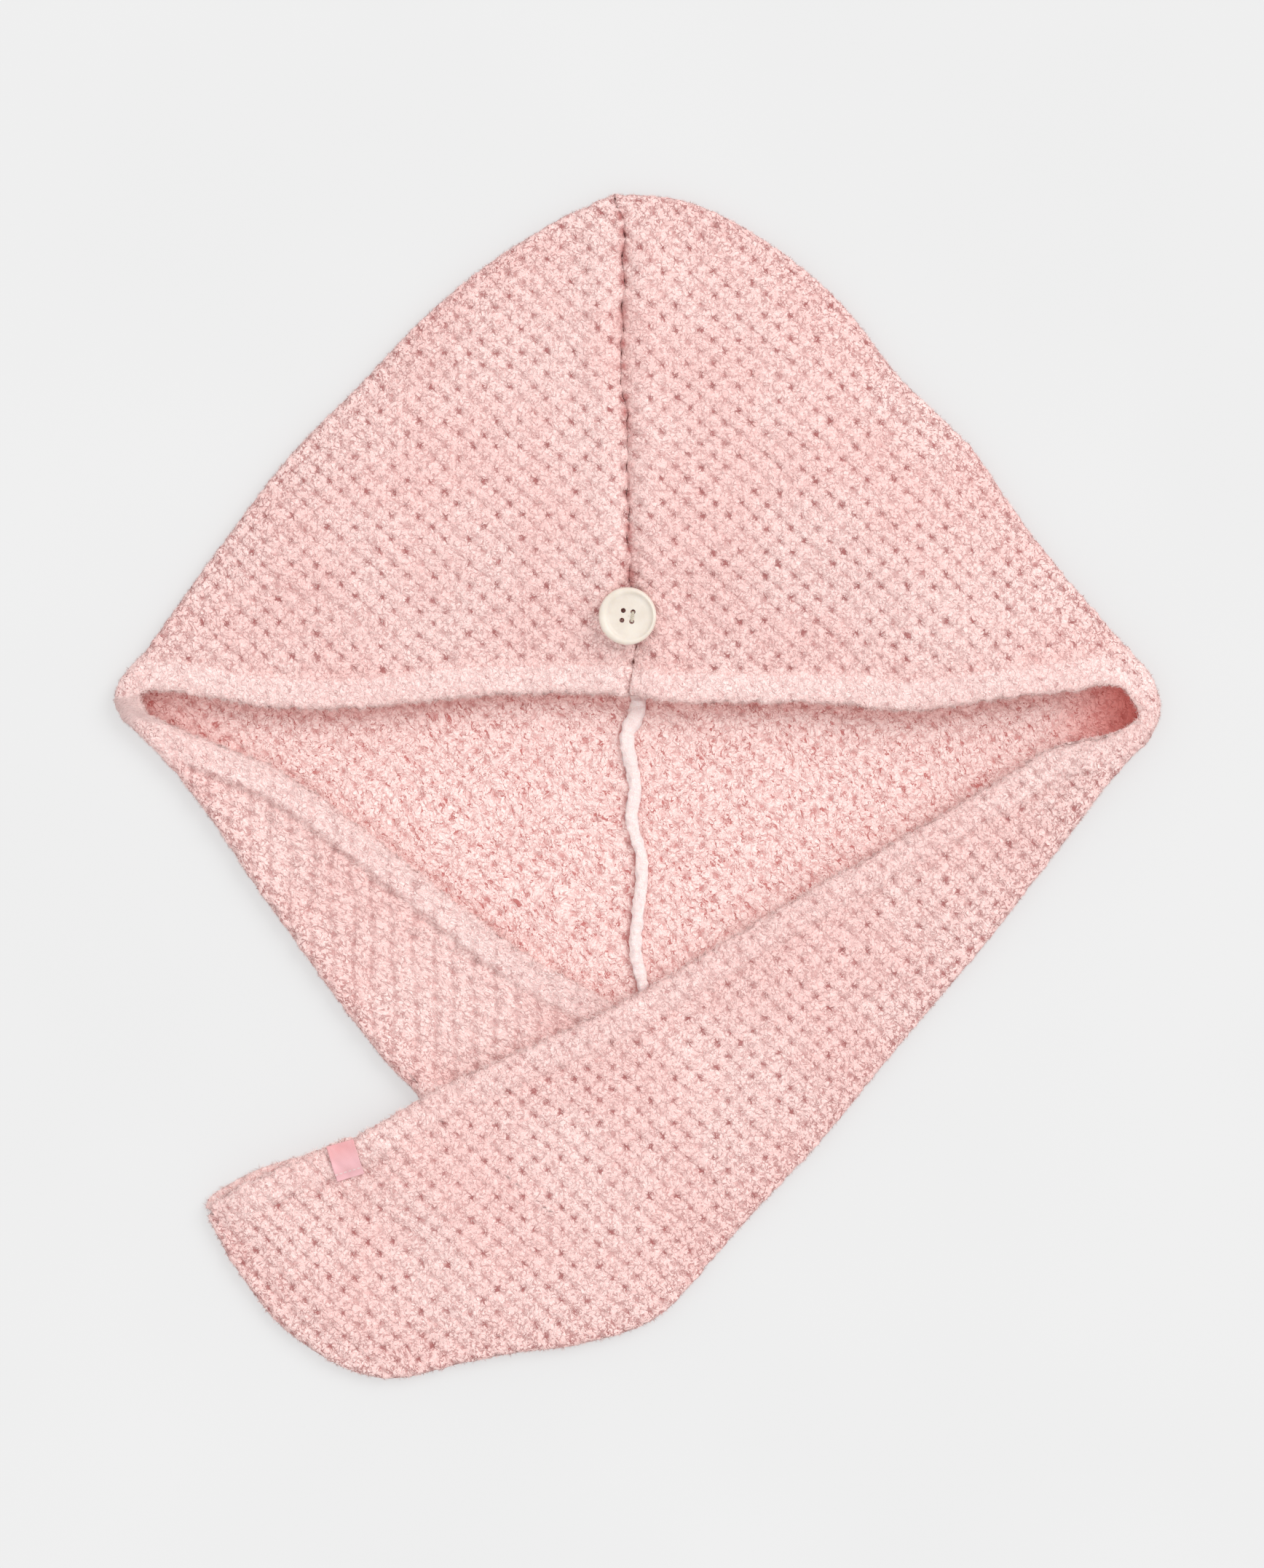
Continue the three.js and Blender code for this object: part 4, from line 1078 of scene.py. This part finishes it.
def cloth_material():
    n = Nodes("waffle_microfibre")
    a, b, _ = n.stored("weave")
    hem_share, inside, _ = n.stored("zone")
    deep, valley, _ = n.stored("shade")
    spot = n.add("CombineXYZ", X=n.times(n.minus(a, b), CELL_X), Y=n.times(n.plus(a, b), CELL_Y))
    shake = n.vector("SUBTRACT", n.noise(spot, 0.5, output=1, flat=True), (0.5, 0.5, 0.5))
    curly = n.vector("MULTIPLY_ADD", shake, (CURL_REACH, CURL_REACH, 0.0), spot)
    nub = n.cells("DISTANCE_TO_EDGE", curly, NUBS_PER_MM)
    hollow = n.range(n.cells("F1", curly, FUR_PER_MM), 0.25, 0.62)
    # How deep in a crease or pit each place is, denser near the edges: it lowers the bump and, below, darkens
    # the colour as painted shade
    dark = crease_share(n, spot, curly, shake, nub)
    height = n.scaled(n.range(nub, 0.0, 0.3), 0.5, n.times(hollow, -0.35))
    height = n.scaled(dark, -0.8, height)
    colour = n.blend(n.range(n.noise(spot, 0.02, 3.0, 0.6, flat=True), 0.35, 0.65), PINK_LOW, PINK_HIGH)
    for share, strength, pink in (
        (hem_share, 0.42, PINK_HEM),
        (inside, 0.85, PINK_INSIDE),
        # painted shade in the low spots between tufts, where the bump dips
        (hollow, 0.5, PINK_HOLLOW_SHADE),
        # painted shade along the seams
        (valley, 0.8, PINK_VALLEY_SHADE),
        # painted shade in the mouth's corners and under the front hem
        (deep, 0.75, PINK_POCKET_SHADE),
        # painted shade in the creases and pits of the weave
        (dark, 0.88, n.blend(inside, PINK_CREASE_SHADE, PINK_CREASE_SHADE_INSIDE)),
    ):
        colour = n.blend(n.times(share, strength), colour, pink)
    return n.finish(
        Base_Color=colour,
        Roughness=0.95,
        Normal=n.bump(height, 0.0006, 0.55),
        Specular_IOR_Level=0.1,
        Sheen_Weight=0.25,
        Sheen_Roughness=0.5,
        Sheen_Tint=linear(255, 232, 228),
        # The inner face glows faintly, more in the mouth's corners: painted light for light that passes through
        # the thin cloth
        Emission_Color=PINK_PAINTED_GLOW,
        Emission_Strength=n.times(inside, n.scaled(deep, 0.06, 0.045)),
    )


def pile_material():
    n = Nodes("loose_pile")
    deep, valley, tip = n.stored("shade")
    colour = n.blend(tip, PINK_LOW, PINK_TIP)
    # painted shade along the seams, carried onto the fibres
    colour = n.blend(n.times(valley, 0.5), colour, PINK_VALLEY_SHADE)
    # painted shade of the mouth's corners and under the front hem, carried onto the fibres
    colour = n.blend(n.times(deep, 0.8), colour, PINK_POCKET_SHADE)
    return n.finish(Base_Color=colour, Roughness=0.95, Specular_IOR_Level=0.05, Sheen_Weight=0.2)


def seam_material():
    n = Nodes("overlocked_edge")
    along = n.stored("weave")[0]
    pile = n.noise(n.place(), 2.2, 2.0, 0.6)
    furrow = n.range(n.wave(along), -0.2, -0.95)
    height = n.scaled(pile, 0.9, n.times(furrow, -0.08))
    pale = n.blend(n.range(pile, 0.3, 0.7), linear(248, 220, 217), linear(255, 240, 237))
    return n.finish(
        # Painted shade in the furrows between the thread loops
        Base_Color=n.blend(n.times(furrow, 0.05), pale, seen(232, 170, 166)),
        Roughness=0.9,
        Normal=n.bump(height, 0.0008, 0.7),
        Sheen_Weight=0.3,
        Subsurface_Weight=0.3,
        Subsurface_Radius=(0.0018, 0.001, 0.0008),
        Subsurface_Scale=1.0,
    )


def button_material():
    n = Nodes("cream_button")
    place = n.place()
    cloud = n.range(n.noise(place, 0.12, 3.0, 0.55), 0.3, 0.7)
    colour = n.blend(cloud, seen(241, 228, 214), seen(251, 241, 228))
    speck = n.range(n.noise(place, 1.4, 3.0, 0.6), 0.62, 0.78, 0.0, 0.25)
    wear = n.noise(place, 0.9, 4.0, 0.6)
    return n.finish(
        Base_Color=n.blend(speck, colour, seen(205, 190, 165)),
        Roughness=n.range(wear, 0.3, 0.7, 0.34, 0.5),
        Normal=n.bump(wear, 0.00012, 0.35),
        Subsurface_Weight=0.2,
        Subsurface_Radius=(0.002, 0.0016, 0.001),
        Subsurface_Scale=1.0,
        Coat_Weight=0.12,
        Coat_Roughness=0.3,
    )


def thread_material():
    n = Nodes("sewing_thread")
    twist = n.wave(n.stored("weave")[0])
    height = n.scaled(n.noise(n.place(), 5.0), 0.4, twist)
    # Painted shade in the grooves of the twist, darker where the bump is low
    colour = n.blend(n.range(twist, -1.0, 0.4), seen(196, 178, 152), seen(240, 230, 212))
    return n.finish(
        Base_Color=colour, Roughness=0.75, Normal=n.bump(height, 0.0001, 0.6), Sheen_Weight=0.3
    )


def label_material():
    n = Nodes("satin_label")
    across, along, _ = n.stored("weave")
    yarn = n.scaled(n.wave(along, 1 / 0.6), 0.6, n.times(n.wave(across, 1 / 0.45), 0.5))
    cloud = n.range(n.noise(n.place(), 0.35, 3.0, 0.6), 0.35, 0.7, 0.0, 0.45)
    pink = n.blend(n.range(along, 2.0, 10.0), seen(252, 181, 183), seen(254, 198, 204))
    pink = n.blend(cloud, pink, seen(253, 196, 198))
    # Painted shade in the low spots between the yarns, where the bump dips
    pink = n.blend(n.range(yarn, -1.0, 0.6, 0.22, 0.0), pink, seen(225, 128, 132))
    gap = n.math("ABSOLUTE", n.minus(along, LABEL_STITCH))
    stitch = n.times(n.range(gap, 0.32, 0.2), n.range(n.wave(across, 1 / 1.9), -0.55, -0.25))
    return n.finish(
        Base_Color=n.blend(stitch, pink, seen(255, 226, 224)),
        Roughness=0.45,
        Normal=n.bump(n.scaled(yarn, 0.25, stitch), 0.00016, 0.6),
        Sheen_Weight=0.25,
        Anisotropic=0.4,
    )


LABEL_WIDTH, LABEL_LENGTH, LABEL_THICKNESS = 11.5, 15.0, 0.7
LABEL_TURN, LABEL_FROM_TIP, LABEL_FROM_EDGE = 17.0, 60.5, 0.6
LABEL_STITCH = LABEL_LENGTH - 2.2
CLOTH = cloth_material()
PILE_COUNT = 60000


def dress(obj, material, node):
    obj.data.materials.clear()
    obj.data.materials.append(material)
    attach(obj, "root")
    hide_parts(node)
    return obj


def tube(path, radius, around):
    """Closed round tube along a path."""
    tangent = unit(np.gradient(path, axis=0))
    side = unit(np.cross(tangent, [0.0, 0.0, 1.0]) + 1e-9)
    up = np.cross(side, tangent)
    turn = np.linspace(0, 2 * math.pi, around, endpoint=False)[None, :, None]
    xyz = path[:, None] + radius * (np.cos(turn) * side[:, None] + np.sin(turn) * up[:, None])
    return xyz.reshape(-1, 3), tube_faces(len(path), around)


def grid_faces(rows, columns, wrap=False):
    c = np.arange(columns if wrap else columns - 1)
    base = np.arange(rows - 1)[:, None] * columns
    a = (base + c).ravel()
    b = (base + (c + 1) % columns).ravel()
    return np.vstack([np.column_stack([a, b, b + columns]), np.column_stack([a, b + columns, a + columns])])


def tube_faces(rows, around):
    """Faces of a closed tube whose vertices run round it, row after row."""
    first = np.arange(around)
    ends = (first[::-1], first + (rows - 1) * around)
    caps = [np.array([(r[0], r[k], r[k + 1]) for k in range(1, around - 1)]) for r in ends]
    return np.vstack([grid_faces(rows, around, wrap=True), *caps])


def outward(xyz, faces):
    a, b, c = (xyz[faces[:, k]] for k in range(3))
    return faces if (a * np.cross(b, c)).sum() >= 0 else faces[:, ::-1]


def seam_ridge():
    """Overlocked edge: a wavy rounded ridge wound with loops of thread."""
    at = np.linspace(ALLOWANCE_FROM, ALLOWANCE_TO, 3000)
    line = back_seam(at)
    run = np.concatenate([[0], np.cumsum(length_of(np.diff(line, axis=0)))])
    count = int(run[-1] / 0.5)
    s = np.linspace(0, run[-1], count)
    at = np.interp(s, run, at)
    line = back_seam(at)
    tangent = unit(np.gradient(line, axis=0))
    side = np.column_stack([tangent[:, 1], -tangent[:, 0]])
    around = 22
    turn = np.linspace(0, 2 * math.pi, around, endpoint=False)
    pitch = s / 2.4
    xyz, vectors = [], []
    lean = 0.5 * noise(s, s * 0, 14, 41)
    wide = 0.5 * ALLOWANCE_WIDTH * (1.06 + 0.4 * np.exp(-(((at - 1.0) / 0.08) ** 2)))
    for k, angle in enumerate(turn):
        across, up = math.cos(angle), math.sin(angle)
        across = math.copysign(abs(across) ** 0.8, across)
        up = max(up, -0.25)
        loop = np.sin(2 * math.pi * (pitch + 0.12 * across))
        swell = 1 + 0.012 * loop + 0.2 * noise(s, np.full(count, k * 1.1), 2.2, 42)
        offset = wide * across * swell + lean * max(up, 0)
        height = WALL + PIECE_GAP + (up + 0.25) / 1.25 * ALLOWANCE_HEIGHT * 0.92 * swell
        xyz.append(np.column_stack([line + side * offset[:, None], height]))
        shared = [np.full(count, value) for value in (across, up)]
        vectors.append(np.column_stack([pitch + 0.12 * across, *shared]))
    xyz = np.stack(xyz, 1).reshape(-1, 3)
    vectors = np.stack(vectors, 1).reshape(-1, 3)
    faces = outward(xyz, tube_faces(count, around))
    return make_mesh("overlocked_seam", xyz, faces, {"weave": vectors})


def label_piece(carrier):
    """Bare satin label that lies on the tail beside its hem."""
    tree = BVHTree.FromObject(carrier, bpy.context.evaluated_depsgraph_get())
    tip = hem("right", 2.0)
    tries = np.arange(2.0, 1.5, -0.005)
    section = tries[int(np.argmax(length_of(hem("right", tries) - tip) >= LABEL_FROM_TIP))]
    corner = hem("right", section)
    turn = math.radians(LABEL_TURN)
    down = np.array([math.sin(turn), -math.cos(turn)])
    across = np.array([math.cos(turn), math.sin(turn)])
    wide, long = 36, 46
    u = np.linspace(-0.5, 0.5, wide) * LABEL_WIDTH
    v = LABEL_FROM_EDGE + np.linspace(0, 1, long) * LABEL_LENGTH
    spots = corner + v[:, None, None] * down + u[None, :, None] * across
    under = np.zeros((long, wide))
    for i in range(long):
        for k in range(wide):
            x, y = spots[i, k]
            hit = tree.ray_cast(Vector((x * MM, y * MM, 0.1)), Vector((0, 0, -1)))[0]
            under[i, k] = hit.z / MM if hit is not None else np.nan
    under[np.isnan(under)] = np.nanmin(under)
    high = under.copy()
    for step in range(3):
        grown = np.pad(high, 2, mode="edge")
        windows = [grown[i : i + long, k : k + wide] for i in range(5) for k in range(5)]
        high = np.max(windows, axis=0) if step == 0 else np.mean(windows, axis=0)
    high = np.maximum(high, under + 0.05) + 0.3
    curl = 0.5 * smooth(np.abs(u) / LABEL_WIDTH, 0.36, 0.5)[None]
    curl = curl + 0.35 * np.sin(v[:, None] / 3.1 + u[None] / 4)
    z = high + 0.4 * np.maximum(curl, 0)
    top = np.dstack([spots, z + LABEL_THICKNESS])
    bottom = np.dstack([spots, z])
    xyz = np.vstack([top.reshape(-1, 3), bottom.reshape(-1, 3)])
    n = wide * long
    face = grid_faces(long, wide)
    border = np.concatenate([
        np.arange(wide - 1),
        np.arange(wide - 1, n - 1, wide),
        np.arange(n - 1, n - wide, -1),
        np.arange(n - wide, 0, -wide),
    ])
    following = np.roll(border, -1)
    rim = np.vstack([
        np.column_stack([border, border + n, following + n]),
        np.column_stack([border, following + n, following]),
    ])
    faces = outward(xyz, np.vstack([face, face[:, ::-1] + n, rim]))
    flat = [np.broadcast_to(part, (long, wide)) for part in (u, v[:, None], 0.0)]
    weave = np.dstack(flat)
    vectors = np.vstack([weave.reshape(-1, 3)] * 2)
    return make_mesh("bare_label", xyz, faces, {"weave": vectors})


BUTTON_TURN = math.radians(-8)
HOLE_SPACING, HOLE_DIAMETER = 4.0, 2.0
# Half section of the button from the middle of its back to the middle of its dish:
# how far inside the rim, or None for the middle, and the height
BUTTON_SECTION = (
    (None, 0.0), (2.2, 0.0), (1.2, 0.12), (0.45, 0.7), (0.08, 1.5), (0.0, 2.2), (0.12, 2.95), (0.5, 3.6),
    (1.05, 3.94), (1.55, 3.96), (2.05, 3.75), (2.5, 3.25), (2.95, 2.88), (3.6, 2.72), (5.2, 2.68), (None, 2.66),
)


def middle_of(node):
    low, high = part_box(node)
    return (low + high) / 2 / MM, low / MM, high / MM


def button_piece():
    middle, low, high = middle_of("button")
    radius = (high.x - low.x) / 2
    profile = [(0.0 if inset is None else radius - inset, z) for inset, z in BUTTON_SECTION]
    dense = []
    for (r0, z0), (r1, z1) in zip(profile, profile[1:]):
        steps = max(1, int(math.hypot(r1 - r0, z1 - z0) / 0.7))
        dense.extend((mix(r0, r1, k / steps), mix(z0, z1, k / steps)) for k in range(steps))
    dense.append(profile[-1])
    rings = np.array(dense[1:-1])
    around = 144
    turn = np.linspace(0, 2 * math.pi, around, endpoint=False)
    shift = 0.9 * smooth(radius - rings[:, :1], 0.6, 2.8) * (rings[:, 1:] > 2.0)
    tilt = 0.02 * rings[:, :1] * np.cos(turn) * (rings[:, 1:] > 2.0)
    round_x, round_y = rings[:, :1] * np.cos(turn) + shift, rings[:, :1] * np.sin(turn)
    xyz = np.stack([round_x, round_y, rings[:, 1:] - tilt], 2)
    xyz = np.vstack([xyz.reshape(-1, 3), [[0, 0, dense[0][1]], [0, 0, dense[-1][1]]]])
    faces = grid_faces(len(rings), around, wrap=True)
    n = len(rings) * around
    k = np.arange(around)
    after = (k + 1) % around
    start = np.column_stack([np.full(around, n), after, k])
    end = np.column_stack([np.full(around, n + 1), n - around + k, n - around + after])
    faces = outward(xyz, np.vstack([faces, start, end]))
    disc = make_mesh("button_disc", xyz, faces)
    for x in (-1, 1):
        for y in (-1, 1):
            bpy.ops.mesh.primitive_cylinder_add(
                vertices=40, radius=HOLE_DIAMETER / 2 * MM, depth=12 * MM,
                location=(x * HOLE_SPACING / 2 * MM, y * HOLE_SPACING / 2 * MM, 2 * MM),
            )
            cutter = bpy.context.object
            cut = disc.modifiers.new("hole", "BOOLEAN")
            cut.operation, cut.object, cut.solver = "DIFFERENCE", cutter, "EXACT"
            bpy.context.view_layer.objects.active = disc
            bpy.ops.object.modifier_apply(modifier=cut.name)
            bpy.data.objects.remove(cutter)
    bevel = disc.modifiers.new("softened", "BEVEL")
    bevel.width, bevel.segments, bevel.limit_method = 0.16 * MM, 3, "ANGLE"
    bevel.angle_limit = math.radians(50)
    bpy.context.view_layer.objects.active = disc
    bpy.ops.object.modifier_apply(modifier=bevel.name)
    co = np.empty(len(disc.data.vertices) * 3, np.float32)
    disc.data.vertices.foreach_get("co", co)
    co = co.reshape(-1, 3) / MM
    c, s = math.cos(BUTTON_TURN), math.sin(BUTTON_TURN)
    moved = np.column_stack([
        middle.x + c * co[:, 0] - s * co[:, 1], middle.y + s * co[:, 0] + c * co[:, 1], co[:, 2] + low.z,
    ])
    disc.data.vertices.foreach_set("co", np.ascontiguousarray(moved * MM, np.float32).ravel())
    disc.data.polygons.foreach_set("use_smooth", np.ones(len(disc.data.polygons), bool))
    disc.data.update()
    return disc


def thread_piece():
    """Three strands of thread through the two right holes, low over the dish and knotted below."""
    middle, low, _ = middle_of("button")
    bottom = middle_of("button_thread")[1].z
    c, s = math.cos(BUTTON_TURN), math.sin(BUTTON_TURN)
    half = HOLE_SPACING / 2
    floor = low.z + 2.7
    parts, faces, vectors, count = [], [], [], 0
    for k, shift in enumerate((-0.3, 0.0, 0.3)):
        t = np.linspace(0, 1, 90)
        y = np.where(t < 0.25, -half, np.where(t > 0.75, half, mix(-half, half, smooth(t, 0.25, 0.75))))
        rise = np.minimum(smooth(t, 0.0, 0.3), smooth(1 - t, 0.0, 0.3))
        z = mix(bottom + 0.35, floor + 0.16 + 0.06 * k, rise)
        x = half + shift * (1 - 0.25 * np.cos(2 * math.pi * t))
        path = np.column_stack([middle.x + c * x - s * y, middle.y + s * x + c * y, z])
        xyz, face = tube(path, 0.2, 12)
        run = np.repeat(np.concatenate([[0], np.cumsum(length_of(np.diff(path, axis=0)))]), 12)
        spin = np.tile(np.arange(12) / 12, len(path))
        parts.append(xyz)
        faces.append(outward(xyz, face) + count)
        vectors.append(np.column_stack([run / 0.8 + spin, spin, spin]))
        count += len(xyz)
    bar = np.linspace(-half - 0.4, half + 0.4, 30)
    bar_x, bar_y = middle.x + c * half - s * bar, middle.y + s * half + c * bar
    path = np.column_stack([bar_x, bar_y, np.full(30, bottom + 0.5)])
    xyz, face = tube(path, 0.42, 12)
    parts.append(xyz)
    faces.append(outward(xyz, face) + count)
    vectors.append(np.column_stack([np.repeat(bar, 12), np.zeros((len(xyz), 2))]))
    return make_mesh("button_stitch", np.vstack(parts), np.vstack(faces), {"weave": np.vstack(vectors)})


left = dress(panel("left"), CLOTH, "left_panel")
right = dress(panel("right"), CLOTH, "right_panel")
ridge = dress(seam_ridge(), seam_material(), "seam_allowance")
tag = dress(label_piece(right), label_material(), "label")
disc = dress(button_piece(), button_material(), "button")
stitch = dress(thread_piece(), thread_material(), "button_thread")

PILE = pile_material()
for carrier, seed in ((left, 71), (right, 81)):
    fibres = pile_piece(carrier.name.replace("cloth", "pile"), carrier, PILE_COUNT, seed)
    fibres.data.materials.append(PILE)
    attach(fibres, "root")


# Floor, light and camera
def floor_piece():
    n = Nodes("pale_floor")
    place = n.add("TexCoord", 3)
    cloud = n.noise(place, 6.0, 2.0)
    colour = n.blend(n.range(cloud, 0.3, 0.7), (0.30, 0.30, 0.30), (0.31, 0.31, 0.31))
    material = n.finish(
        Base_Color=colour,
        Roughness=0.9,
        Specular_IOR_Level=0.05,
        Emission_Color=(1.0, 1.0, 1.0),
        Emission_Strength=0.485,
    )
    bpy.ops.mesh.primitive_plane_add(size=8)
    floor = bpy.context.object
    floor.name = "floor"
    floor.data.materials.append(material)


def sun_light(name, azimuth, elevation, spread, strength):
    """Wide soft light from an azimuth counted anticlockwise from +X."""
    data = bpy.data.lights.new(name, "SUN")
    data.angle, data.energy = math.radians(spread), strength
    lamp = bpy.data.objects.new(name, data)
    lamp.rotation_euler = (0, math.radians(90 - elevation), math.radians(azimuth))
    bpy.context.scene.collection.objects.link(lamp)


floor_piece()
sun_light("window", azimuth=38, elevation=42, spread=34, strength=1.15)
world = bpy.data.worlds.new("studio")
world.use_nodes = True
world.node_tree.nodes["Background"].inputs["Color"].default_value = (1, 1, 1, 1)
world.node_tree.nodes["Background"].inputs["Strength"].default_value = 1.0
bpy.context.scene.world = world
bpy.context.scene.view_settings.view_transform = "Standard"

CAMERA_HEIGHT = 2.4
VIEW_HEIGHT = 0.642
camera_data = bpy.data.cameras.new("camera")
camera_data.lens = 36.0 * CAMERA_HEIGHT / VIEW_HEIGHT
camera_data.sensor_width = 36.0
camera = bpy.data.objects.new("camera", camera_data)
camera.location = (-0.0022, 0.0007, CAMERA_HEIGHT)
bpy.context.scene.collection.objects.link(camera)
bpy.context.scene.camera = camera

bpy.context.view_layer.update()
